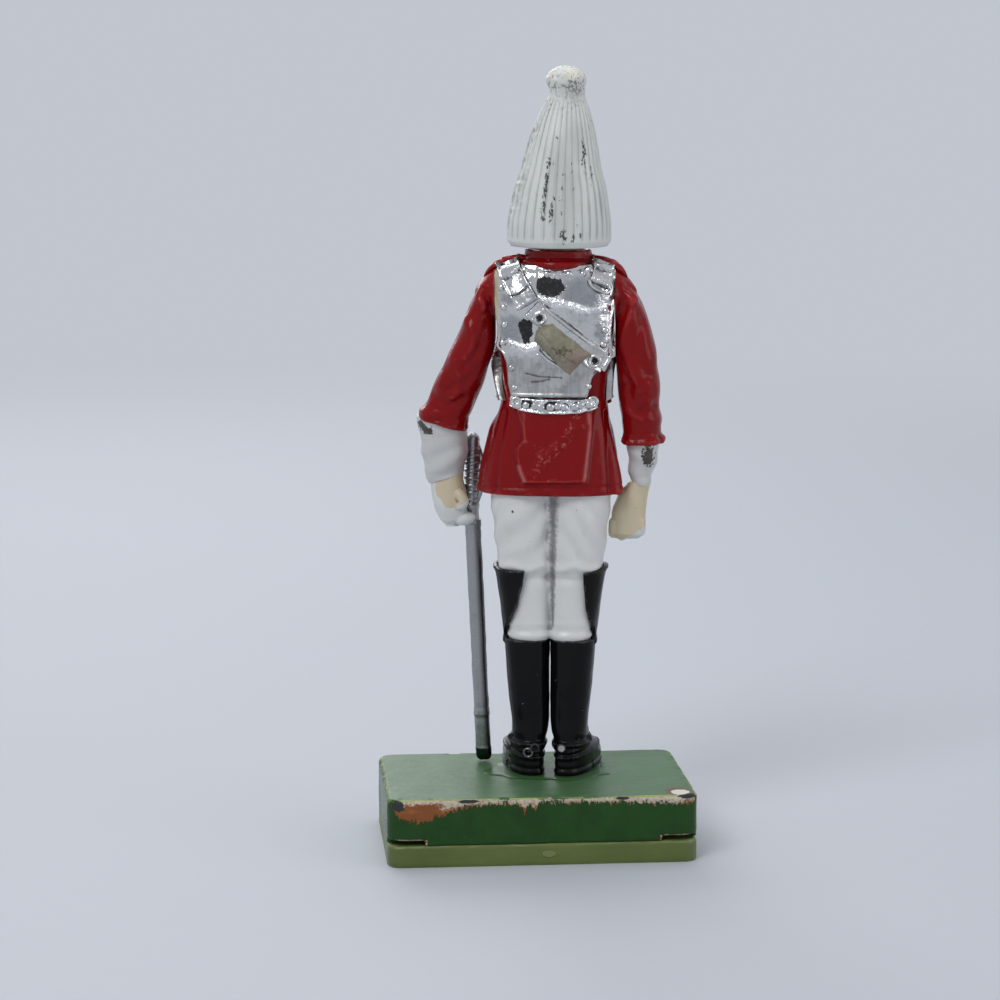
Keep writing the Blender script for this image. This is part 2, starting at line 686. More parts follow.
class SoldierPaints(bpy.types.PropertyGroup):
    """Colours of the soldier's paints and platings"""
    plume: colour("Plume white", "Satin white of the plume", (0.68, 0.70, 0.68))
    groove: colour("Groove grey", "Grey green that gathers in the plume's grooves", (0.40, 0.435, 0.41))
    white: colour("Breeches white", "Satin white of breeches and gauntlets", (0.70, 0.71, 0.70))
    red: colour("Tunic red", "Gloss red of tunic and sleeves", (0.225, 0.003, 0.004))
    plating: colour("Plating", "Vacuum plated cuirass, straps and belts", (0.68, 0.68, 0.67))
    bare: colour("Bare plastic", "Pale plastic where the plating ends", (0.52, 0.47, 0.34))
    black: colour("Boot black", "Gloss black of the boots", (0.004, 0.004, 0.0045))
    cream: colour("Pouch cream", "Cream of the pouch", (0.21, 0.195, 0.125))
    skin: colour("Flesh", "Flesh of face and hands", (0.68, 0.45, 0.32))
    brass: colour("Brass", "Plated helmet and chin chain", (0.80, 0.62, 0.28))
    steel: colour("Sword silver", "Silver paint of sword and scabbard", (0.36, 0.365, 0.375))
    green: colour("Base green", "Gloss green of the base", (0.020, 0.074, 0.015))
    olive: colour("Under-plate olive", "Moulded plastic of the under-plate", (0.125, 0.170, 0.034))
    room: colour("Backdrop", "Pale blue grey of the floor and the backdrop", (0.53, 0.56, 0.62))


def paints(context):
    return context.scene.soldier_paints


def sizes(context):
    return context.scene.soldier_sizes


# Finishes

def plume_white(p):
    """Chalky white, grey in the grooves, with black metal showing where the ribs are rubbed"""
    q = Paint("plume white", p.plume)
    groove, cloud = q.mark("groove"), q.noise(1.6, 4, (1, 1, 3))
    dust = q.noise(0.26, 3, (1, 1, 1.8), 0.7, 7)
    q.coat((groove * 0.8 + (cloud - 0.5) * 0.9).over(0.1, 1.0), p.groove)
    ragged = q.noise(0.5, 3, (1, 1, 1.8), 0.7, 12)
    wear = (q.mark("wear") * 1.2 + (groove - 0.4) * 0.3 + (dust - 0.5) * 4.0 + (ragged - 0.5) * 1.4
            - 0.98).over(0.0, 0.5)
    low = q.spot((-1.6, 1.8, 66.9), (2.0, 2.2, 1.6)).most(0)
    speck = (q.noise(0.22, 2, (1, 1, 1.6), 0.6, 3) + cloud * 0.25 + low * 0.16).over(0.70, 0.80) * q.mark("speckle")
    centre = (q.spot((-1.0, 4.6, 58.5), (2.6, 3.4, 8.5)).most(q.spot((-2.3, 3.6, 62.5), (1.6, 2.5, 4.0))).most(low)
              + (cloud - 0.5) * 0.5).over(0.0, 0.75)
    q.coat(centre * 0.5, (0.44, 0.45, 0.42))
    q.coat((q.mark("band") + (ragged - 0.5) * 2.0).over(0.4, 1.1) * 0.7, (0.33, 0.34, 0.33))
    q.coat(q.mark("cream") * cloud.over(0.3, 0.7) * 0.7, (0.78, 0.76, 0.60))
    q.coat(speck * 0.75, (0.10, 0.10, 0.09))
    q.coat(wear * 0.92, (0.016, 0.016, 0.015))
    return q.done(wear * 0.15 + (cloud - 0.5) * 0.2 + 0.5,
                  [(dust, 0.035), (cloud, 0.06), (wear * -1.0, 0.03)])


def plain_white(p, name="breeches white", stain=True):
    """Satin white paint, worn grey in its creases"""
    q = Paint(name, dim(p.white, 1.0 if stain else 0.84))
    cloud, dust = q.noise(2.4, 4), q.noise(0.3, 3, seed=4)
    q.coat((q.mark("hollow") * 1.3 + (cloud - 0.5) * 0.6).over(0.25, 1.1), (0.36, 0.37, 0.36))
    q.coat(cloud.over(0.55, 0.8) * 0.35, (0.60, 0.585, 0.52))
    if stain:
        soot = (q.mark("crease") + (dust - 0.5) * 1.3).over(0.3, 1.15)
        q.coat(soot * 0.8, (0.12, 0.122, 0.118))
    speck = q.noise(0.24, 1, seed=11).over(0.80, 0.83)
    chip = (q.mark("chip") * 1.3 + (dust - 0.5) * 2.6).over(0.6, 0.8)
    q.coat(speck.most(chip), (0.045, 0.038, 0.028))
    return q.done((cloud - 0.5) * 0.25 + 0.36, [(cloud, 0.05), (dust, 0.012), (chip * -1.0, 0.05)],
                  coat_weight=0.25, coat_roughness=0.25)


def gloss_red(p):
    """Thick gloss red over soft folds, dark in the hollows and thin on the ridges"""
    q = Paint("gloss red", p.red)
    hollow, cloud, pool = q.mark("hollow"), q.noise(2.2, 4), q.noise(0.9, 2, seed=5)
    q.coat((hollow + (cloud - 0.5) * 0.6).over(0.15, 1.1), (0.085, 0.002, 0.008))
    q.coat((hollow * -1.0 + (cloud - 0.5) * 0.8).over(0.35, 1.2) * 0.5, (0.50, 0.05, 0.05))
    chip = ((q.noise(0.3, 3, seed=9) - 0.5) * 1.6 - hollow * 0.55).over(0.62, 0.7)
    q.coat(chip * q.noise(3.0, 1, seed=2).over(0.5, 0.7), (0.03, 0.022, 0.02))
    q.coat(q.mark("shine") * 0.6, (0.55, 0.20, 0.19))
    q.coat((q.mark("rub") + (q.noise(0.35, 3, seed=14) - 0.5) * 1.8).over(0.55, 1.0) * 0.6, (0.50, 0.17, 0.16))
    return q.done((pool - 0.5) * 0.12 + 0.24, [(pool, 0.10), (q.noise(0.25, 2, seed=1), 0.008)],
                  specular_ior_level=0.1, coat_weight=0.18, coat_roughness=0.04)


def plated(p):
    """Bright vacuum plating over cast plastic, dulled, scratched and rubbed through in places"""
    q = Paint("plating", p.plating)
    hollow, cloud, ripple = q.mark("hollow"), q.noise(2.6, 4, seed=3), q.noise(1.1, 3, seed=8)
    dust, brush = q.noise(0.22, 3, seed=6), q.noise(0.8, 3, (0.35, 0.35, 5.0), seed=2)
    ragged = q.noise(0.5, 3, rough=0.7, seed=12)
    bare = (q.mark("bare") * 2.0 + (dust - 0.5) * 1.6 + (ragged - 0.5) * 1.2).over(1.0, 1.3)
    dull = (q.mark("dull") + (cloud - 0.5) * 0.9).over(0.3, 0.9)
    shade = (q.mark("shade") + (ripple - 0.5) * 0.6).over(0.4, 1.05)
    beige = (q.mark("beige") * 1.5 + (cloud - 0.5) * 1.2).over(0.55, 0.9)
    q.coat(dull * 0.6, (0.46, 0.46, 0.44))
    q.coat(shade * 0.62, (0.22, 0.23, 0.25))
    q.coat((hollow + (dust - 0.5)).over(0.3, 1.1) * 0.7, (0.07, 0.07, 0.068))
    q.coat(q.mark("creased").over(0.1, 0.5), (0.92, 0.92, 0.92))
    q.coat(cloud.over(0.48, 0.72) * 0.45, (0.36, 0.37, 0.39))
    q.coat((ragged + (ripple - 0.5) * 0.8).over(0.55, 0.75) * 0.4, (0.30, 0.30, 0.30))
    q.coat((dull * (brush + (ripple - 0.5))).over(0.42, 0.62) * 0.4, (0.30, 0.30, 0.285))
    scratch = (q.mark("scratch") + (brush - 0.5) * 0.8).over(0.35, 0.9)
    q.coat(scratch * 0.8, (0.08, 0.08, 0.08))
    q.coat(beige, p.bare)
    q.coat(bare, q.mix(dust.over(0.5, 0.75), (0.002, 0.002, 0.002), (0.05, 0.05, 0.053)))
    cover = 1 - bare.most(beige)
    return q.done(dull * 0.25 + shade * 0.08 + (cloud - 0.5) * 0.1 + bare * 0.55 + 0.09, [
        (ripple, 0.16), (ragged * q.mark("creased"), 0.3), (dull * brush, 0.03), (dust, 0.005),
        (bare * -1.0, 0.05)], metallic=cover * 0.96)


def gloss_black(p):
    """Gloss black with brush streaks and white flecks, grey where the edges are rubbed"""
    q = Paint("gloss black", p.black)
    hollow, streak, cloud = q.mark("hollow"), q.noise(0.5, 3, (1, 1, 8)), q.noise(2.0, 3, seed=2)
    q.coat((hollow * -1.0 + (streak - 0.5)).over(0.55, 1.2) * 0.6, (0.10, 0.10, 0.10))
    fleck = q.noise(0.3, 1, seed=13).over(0.80, 0.82)
    q.coat(fleck, (0.5, 0.5, 0.48))
    q.coat(q.mark("silver").over(0.4, 0.6), (0.42, 0.42, 0.42))
    return q.done((streak - 0.5) * 0.18 + fleck * 0.3 + 0.20, [(streak, 0.05), (cloud, 0.08)],
                  specular_ior_level=0.12, coat_weight=0.07, coat_roughness=0.05)


def silver(p, name, tone):
    """Silver or brass paint with grain, dark in the grooves"""
    q = Paint(name, tone)
    cloud, dust = q.noise(1.4, 4), q.noise(0.2, 3, seed=5)
    q.coat((q.mark("hollow") + (cloud - 0.5) * 0.8).over(0.1, 0.9), dim(tone, 0.16))
    q.coat((cloud * 0.6 + dust * 0.4).over(0.55, 0.7) * 0.35, dim(tone, 0.45))
    q.coat(q.mark("side") * 0.75, dim(tone, 0.22))
    q.coat((q.mark("paint") * 1.3 + (cloud - 0.5) * 1.5).over(0.5, 0.8), (0.012, 0.03, 0.014))
    return q.done((cloud - 0.5) * 0.3 + 0.30, [(dust, 0.012), (cloud, 0.05)], metallic=0.85)


def pouch_cream(p):
    """Thick cream over the plating, pink at one end and rubbed dark in the middle"""
    q = Paint("pouch cream", p.cream)
    cloud, dust = q.noise(0.9, 4, rough=0.65), q.noise(0.3, 3, seed=3)
    q.coat(cloud.over(0.35, 0.7), (0.31, 0.29, 0.22))
    q.coat(q.spot((-2.6, 5.0, 41.4), (1.9, 2.5, 1.8)).over(0.0, 0.6) * 0.7, (0.27, 0.19, 0.165))
    rub = (q.spot((-1.1, 5.0, 42.4), (1.9, 2.5, 0.9)) + (dust - 0.5) * 1.6).over(0.30, 0.8)
    q.coat(rub * 0.85, (0.055, 0.052, 0.018))
    q.coat(q.mark("hollow").over(0.2, 1.0) * 0.6, (0.08, 0.075, 0.05))
    return q.done((cloud - 0.5) * 0.3 + 0.5, [(cloud, 0.16), (dust, 0.03)], coat_weight=0.15,
                  coat_roughness=0.3)


def flesh(p):
    """Flesh paint with plain painted features and brown hair, on a calm, nameless face"""
    q = Paint("flesh", p.skin)
    cloud = q.noise(1.2, 3)
    q.coat(q.mark("hollow").over(0.05, 0.9) * 0.6, (0.30, 0.12, 0.065))
    for side in (-1, 1):
        q.coat(q.spot((NECK_X + side * 1.55, -2.6, 54.9), (0.8, 0.9, 0.6)).over(0, 0.9) * 0.35, (0.62, 0.22, 0.15))
    q.coat(q.mark("lips").over(0.3, 0.7) * 0.75, (0.42, 0.11, 0.085))
    q.coat(q.mark("white").over(0.4, 0.6), (0.75, 0.75, 0.72))
    q.coat(q.mark("iris").over(0.4, 0.6), (0.03, 0.045, 0.06))
    hair = (q.mark("hair") + (q.noise(0.3, 3, (1, 1, 3), seed=2) - 0.5) * 0.35).over(0.45, 0.6)
    q.coat(hair, (0.055, 0.026, 0.012))
    return q.done((cloud - 0.5) * 0.2 + 0.42, [(q.noise(0.25, 2, seed=6), 0.01), (cloud, 0.03)],
                  coat_weight=0.2, coat_roughness=0.3)


def hand_paint(p):
    """Cream and white patches over flesh on the gloved hands"""
    q = Paint("hand paint", (0.64, 0.55, 0.38))
    cloud, dust = q.noise(1.6, 4, rough=0.65, seed=4), q.noise(0.3, 3, seed=8)
    q.coat((q.mark("white") * 1.2 + (cloud - 0.5) * 1.6).over(0.35, 0.75), p.white)
    q.coat((q.mark("hollow") + (dust - 0.5) * 0.7).over(0.15, 0.9) * 0.75, (0.16, 0.12, 0.085))
    q.coat(dust.over(0.70, 0.76) * 0.6, (0.05, 0.045, 0.04))
    return q.done((cloud - 0.5) * 0.25 + 0.42, [(cloud, 0.06), (dust, 0.02)], coat_weight=0.2,
                  coat_roughness=0.3)


def base_green(p):
    """Gloss green brushed along the top, chipped to cream and metal along the edges"""
    q = Paint("base green", p.green, BASE)
    brush, cloud = q.noise(1.2, 3, (5, 0.8, 1), seed=2), q.noise(2.2, 4)
    dust, flake = q.noise(0.35, 4, rough=0.65, seed=3), q.noise(1.5, 4, (1.7, 1.2, 0.9), 0.7, 9)
    edge = q.mark("edge")
    q.coat(cloud.over(0.3, 0.75), (0.015, 0.056, 0.012))
    q.coat(q.mark("top") * (cloud * 0.4 + 0.6), (0.085, 0.175, 0.085))
    q.coat(edge.over(0.5, 0.9) * brush.over(0.4, 0.6) * 0.55, (0.22, 0.32, 0.06))
    streak, fall = q.noise(0.5, 4, (0.5, 1, 1.5), 0.7, 15), q.mark("fall")
    chip = (edge * 0.62 + (flake - 0.5) * 2.0 + (dust - 0.5) * 0.8).over(0.68, 0.76)
    shed = ((q.mark("front") - 0.5) * 2.5 + (streak - 0.5) * 2.4 + (dust - 0.5) * 1.4).over(-0.05, 0.12) \
        * q.mark("front").over(0.02, 0.1)
    notch = (q.mark("notch") + (streak - 0.5) * 1.2).over(0.5, 0.7)
    chip = chip.most(shed).most(notch)
    brown = (fall * 1.3 + q.spot((12.3, 9.5, 5.2), (2.6, 3.0, 1.7)).most(0) * 0.5 + (flake - 0.5) * 1.6
             + (dust - 0.5) * 1.4 - notch - 0.12).over(0.12, 0.42)
    metal = (q.mark("hole") + (dust - 0.5) * 1.6 + (flake - 0.5) * 1.4).over(0.3, 0.45)
    fleck = dust.over(0.69, 0.72) * (1 - q.mark("top") * 0.7) * (edge * 0.7 + 0.3)
    q.coat(q.mark("line").over(0.3, 0.8) * brush.over(0.25, 0.5) * 0.8, (0.42, 0.50, 0.13))
    rust = q.mix(flake.over(0.4, 0.6), (0.38, 0.14, 0.045), (0.24, 0.085, 0.03))
    cream = q.mix(streak.over(0.4, 0.65), (0.60, 0.55, 0.45), (0.42, 0.34, 0.25))
    q.coat(fleck.most(chip), q.mix(brown, cream, rust))
    q.coat(metal, (0.045, 0.047, 0.05))
    ragged = (dust - 0.5) * 0.3
    q.coat((q.spot((-13.2, 7.9, 6.62), (1.3, 1.3, 1.0)) + ragged).over(0.0, 0.1), (0.16, 0.05, 0.03))
    q.coat((q.spot((-13.35, 8.1, 6.62), (1.25, 1.15, 1.0)) + ragged).over(0.22, 0.32), (0.70, 0.69, 0.64))
    return q.done((cloud - 0.5) * 0.14 + chip * 0.4 + metal * 0.3 + q.mark("top") * 0.15 + 0.26,
                  [(brush * q.mark("top"), 0.07), (cloud, 0.08), (fleck.most(chip) * -1.0, 0.06), (dust, 0.01)],
                  specular_ior_level=0.15, coat_weight=0.03, coat_roughness=0.2)


def olive_plastic(p):
    """Moulded olive plastic with fine scuffs and pale rubbed edges"""
    q = Paint("olive plastic", p.olive, BASE)
    cloud, scuff = q.noise(3.0, 4, (3, 1, 1)), q.noise(0.3, 4, (6, 1, 1), 0.65, 4)
    q.coat(cloud.over(0.3, 0.75), dim(p.olive, 0.72))
    q.coat((q.mark("hollow") * -1.0 + (scuff - 0.5) * 1.2).over(0.5, 1.0) * 0.6, (0.27, 0.30, 0.14))
    gate = q.spot((-0.5, 9.5, 1.1), (0.9, 0.8, 0.45)).over(0.2, 0.35)
    q.coat(gate * 0.6, (0.22, 0.25, 0.10))
    return q.done((scuff - 0.5) * 0.25 + 0.40, [(scuff, 0.02), (cloud, 0.04), (gate, 0.06)],
                  coat_weight=0.1, coat_roughness=0.3)


def backdrop(p):
    """Plain pale floor that goes over into the backdrop's own colour far from the figure"""
    q = Paint("backdrop", p.room, Matrix.Identity(4))
    q.coat(q.noise(60, 2).over(0.2, 0.8) * 0.03, (0.5, 0.5, 0.5))
    spread = q.add("ShaderNodeTexGradient", {"gradient_type": "SPHERICAL"}, {
        "Vector": q.add("ShaderNodeMapping", {"vector_type": "POINT"}, {
            "Vector": q.add("ShaderNodeTexCoord").outputs["Object"], "Scale": (1.6,) * 3}).outputs[0]})
    cloth = q.add("ShaderNodeBsdfPrincipled", None, {"Base Color": q.tone, "Roughness": 0.75})
    glow = q.add("ShaderNodeEmission", None, {"Color": tuple(p.room) + (1.0,), "Strength": 1.0})
    both = q.add("ShaderNodeMixShader", None, {0: Value(q, spread.outputs["Fac"]).over(0.75, 0.25),
                                               1: cloth.outputs[0], 2: glow.outputs[0]})
    q.add("ShaderNodeOutputMaterial", None, {"Surface": both.outputs[0]})
    return q.material


# Forms that the pieces share: shares of width, depth and height

TUNIC = Form([
    [0, 0.012, 0, 0.492, 0.51, 0.49, 2.5], [0.09, 0.012, 0, 0.472, 0.494, 0.47, 2.5],
    [0.18, 0.007, 0, 0.444, 0.47, 0.446, 2.5], [0.277, 0.004, 0, 0.411, 0.446, 0.417, 2.5],
    [0.357, -0.004, 0, 0.374, 0.423, 0.393, 2.6], [0.433, -0.01, 0, 0.357, 0.417, 0.393, 2.7],
    [0.527, -0.014, 0, 0.36, 0.446, 0.399, 2.9], [0.638, -0.014, 0, 0.385, 0.476, 0.411, 3],
    [0.75, -0.014, 0, 0.396, 0.482, 0.417, 3], [0.862, -0.014, 0, 0.396, 0.452, 0.417, 3],
    [0.938, -0.014, 0, 0.385, 0.405, 0.393, 2.9], [0.973, -0.014, 0, 0.35, 0.345, 0.345, 2.7],
    [1, -0.014, 0, 0.29, 0.27, 0.27, 2.4]], (14.3, 8.4, 22.4), HEM)
LEG_SHARES = [
    [0, 0.329, 0.053, 0.337, 0.333, 0.371, 2.4], [0.124, 0.347, 0.053, 0.355, 0.341, 0.364, 2.4],
    [0.248, 0.367, 0.053, 0.375, 0.352, 0.352, 2.4], [0.431, 0.404, 0.053, 0.412, 0.388, 0.36, 2.4],
    [0.49, 0.425, 0.053, 0.433, 0.405, 0.375, 2.4], [0.686, 0.455, 0.053, 0.463, 0.44, 0.41, 2.4],
    [0.895, 0.482, 0.053, 0.49, 0.50, 0.43, 2.4], [1, 0.487, 0.053, 0.495, 0.505, 0.43, 2.4]]
BOOT_SHARES = [
    [0, 0.424, -0.33, 0.37, 0.86, 0.84, 2.6, 0.26], [0.03, 0.424, -0.33, 0.40, 0.88, 0.86, 2.6, 0.26],
    [0.08, 0.424, -0.33, 0.385, 0.87, 0.85, 2.6, 0.26], [0.14, 0.424, -0.33, 0.39, 0.79, 0.84, 2.4, 0.26],
    [0.20, 0.424, -0.24, 0.38, 0.66, 0.74, 2.3, 0.22], [0.25, 0.424, -0.10, 0.38, 0.54, 0.58, 2.3, 0.14],
    [0.32, 0.42, 0.02, 0.40, 0.44, 0.46, 2.3, 0.05], [0.41, 0.425, 0.06, 0.417, 0.41, 0.41, 2.3, 0],
    [0.55, 0.448, 0.07, 0.44, 0.42, 0.44, 2.3, 0], [0.70, 0.472, 0.07, 0.463, 0.44, 0.49, 2.3, 0],
    [0.85, 0.486, 0.07, 0.478, 0.46, 0.50, 2.4, 0], [1, 0.501, 0.07, 0.494, 0.48, 0.49, 2.4, 0]]
LEG = {side: Form(LEG_SHARES, (6.0, 6.57, 15.3), KNEE, LEG_X, side) for side in (1, -1)}
BOOT = {side: Form(BOOT_SHARES, (4.52, 4.99, 13.7), 0, LEG_X, side) for side in (1, -1)}
HEAD = Form([
    [0, 0, -0.10, 0.20, 0.30, 0.20, 2], [0.07, 0, -0.06, 0.32, 0.42, 0.34, 2],
    [0.21, 0, -0.03, 0.41, 0.47, 0.42, 2], [0.39, 0, 0, 0.456, 0.475, 0.46, 2.1],
    [0.57, 0, 0, 0.482, 0.478, 0.48, 2.1], [0.79, 0, 0, 0.495, 0.49, 0.49, 2.1],
    [1, 0, 0, 0.5, 0.50, 0.50, 2.1]], (5.7, 6.8, 5.7), CHIN, NECK_X)
HELMET = Form([
    [0, 0, 0, 0.50, 0.51, 0.49, 2], [0.08, 0, 0, 0.515, 0.525, 0.505, 2],
    [0.16, 0, 0, 0.495, 0.505, 0.485, 2], [0.42, 0, 0, 0.45, 0.475, 0.45, 2],
    [0.72, 0, 0, 0.36, 0.38, 0.36, 2], [0.92, 0, 0, 0.22, 0.23, 0.22, 2],
    [1, 0, 0, 0.10, 0.09, 0.09, 2]], (6.4, 7.5, 3.2), BRIM, NECK_X)
LEFT_SLEEVE = limb([
    [0, 0.399, 1.035, -0.19, 0.52], [0.054, 0.372, 1.04, -0.17, 0.53], [0.147, 0.3, 0.955, -0.12, 0.48],
    [0.3, 0.185, 0.835, -0.04, 0.47], [0.419, 0.11, 0.74, 0.02, 0.48], [0.535, 0.04, 0.641, 0.04, 0.49],
    [0.651, 0.002, 0.533, 0.04, 0.5], [0.806, 0.002, 0.422, 0.02, 0.51], [0.93, 0.002, 0.336, 0, 0.48],
    [1.0, 0.002, 0.27, 0, 0.42], [1.06, 0.002, 0.2, 0, 0.3], [1.1, 0.002, 0.1, 0, 0.12]],
    LEFT_WIDE, SLEEVE_DEEP, 12.91, CUFF, 1)
RIGHT_SLEEVE = limb([
    [-0.124, 0.17, 1.06, -0.15, 0.54], [-0.08, 0.18, 1.02, -0.14, 0.53], [0, 0.163, 0.985, -0.12, 0.5],
    [0.054, 0.152, 1, -0.1, 0.51], [0.147, 0.096, 0.955, -0.06, 0.47],
    [0.3, 0.062, 0.955, 0, 0.47], [0.419, 0.039, 0.921, 0.03, 0.48], [0.535, 0.01, 0.887, 0.04, 0.49],
    [0.651, 0.003, 0.83, 0.04, 0.5], [0.806, 0.003, 0.702, 0.02, 0.51], [0.93, 0.003, 0.57, 0, 0.48],
    [1.0, 0.003, 0.46, 0, 0.42], [1.06, 0.003, 0.33, 0, 0.3], [1.1, 0.003, 0.17, 0, 0.12]],
    RIGHT_WIDE, SLEEVE_DEEP, 12.91, CUFF, -1)
LEFT_GAUNTLET = limb([
    [0, 0.44, 0.93, -0.36, 0.38], [0.12, 0.42, 0.95, -0.35, 0.40], [0.3, 0.399, 0.985, -0.33, 0.43],
    [0.65, 0.39, 1.025, -0.28, 0.47], [0.93, 0.39, 1.075, -0.24, 0.5], [1, 0.41, 1.065, -0.23, 0.49]],
    LEFT_WIDE, HAND_DEEP, 5.6, WRIST, 1)
RIGHT_GAUNTLET = limb([
    [0, 0.378, 0.774, -0.24, 0.34], [0.12, 0.333, 0.819, -0.23, 0.36], [0.3, 0.299, 0.876, -0.2, 0.42],
    [0.65, 0.265, 0.955, -0.16, 0.47], [0.93, 0.197, 1, -0.14, 0.5], [1, 0.243, 0.966, -0.13, 0.48]],
    RIGHT_WIDE, HAND_DEEP, 5.6, WRIST, -1)
LEFT_PALM = limb([[0.02, 0.50, 0.70, -0.42, 0.16], [0.14, 0.42, 0.78, -0.42, 0.26],
                  [0.4, 0.40, 0.85, -0.4, 0.32], [0.75, 0.42, 0.89, -0.38, 0.34],
                  [1, 0.45, 0.90, -0.36, 0.33]], LEFT_WIDE, HAND_DEEP, 4.6, PALM, 1)
RIGHT_PALM = limb([[-0.22, 0.02, 0.55, -0.3, 0.14], [-0.1, -0.06, 0.68, -0.3, 0.26],
                   [0.3, -0.05, 0.68, -0.28, 0.30], [0.7, 0.08, 0.72, -0.26, 0.31],
                   [1, 0.30, 0.78, -0.24, 0.31]], RIGHT_WIDE, HAND_DEEP, 4.6, PALM, -1)
PLATE = 0.55
SWORD = Vector((8.06, -2.73, 24.86))
SCABBARD_FOOT = Vector((6.96, -3.74, 0.25))


def levels(low, high, count, rim=0.3):
    """Heights between two, closer together near both ends"""
    return low + (high - low) * steps(count, high - low, rim)


def edge_x(table, z):
    """Place of an outline at a height, from its height and place pairs"""
    table = np.array(table)
    return curve(table[:, 0], table[:, 1], z)


def lap(start, end, z, u):
    """Open grid just off the tunic, from one side angle round to another"""
    return TUNIC.at(start + (end - start) * u, z, 0.08)


def plate_height(grid, rim, form):
    """Height of a plate: rounded edge, raised rim and the plate's own form away from both"""
    gap = np.minimum.reduce(borders(grid))
    return (0.10 + (PLATE - 0.18) * rounded(gap, 0.28) + bead(rim, gap, 0.28, 0.5, 0.15)
            + form * ease(gap, 0.3, 1.5))


def seats(places, off, back=1):
    """Points standing off the tunic at places across and up, and the directions away from it"""
    points = [TUNIC.depth(x, z, off, back) for x, z in places]
    return points, [TUNIC.depth(x, z, off + 1, back) - point for (x, z), point in zip(places, points)]


def lying(places, off, back=1):
    """Points standing off the tunic along a line of places across and up"""
    return np.array([TUNIC.depth(x, z, off, back) for x, z in places])


class Piece:
    """What every piece's operator shares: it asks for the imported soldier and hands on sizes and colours"""
    bl_options = {"REGISTER", "UNDO"}

    def execute(self, context):
        if not frame["nodes"]:
            raise RuntimeError("the packed soldier isn't loaded")
        self.make(sizes(context), paints(context))
        return {"FINISHED"}


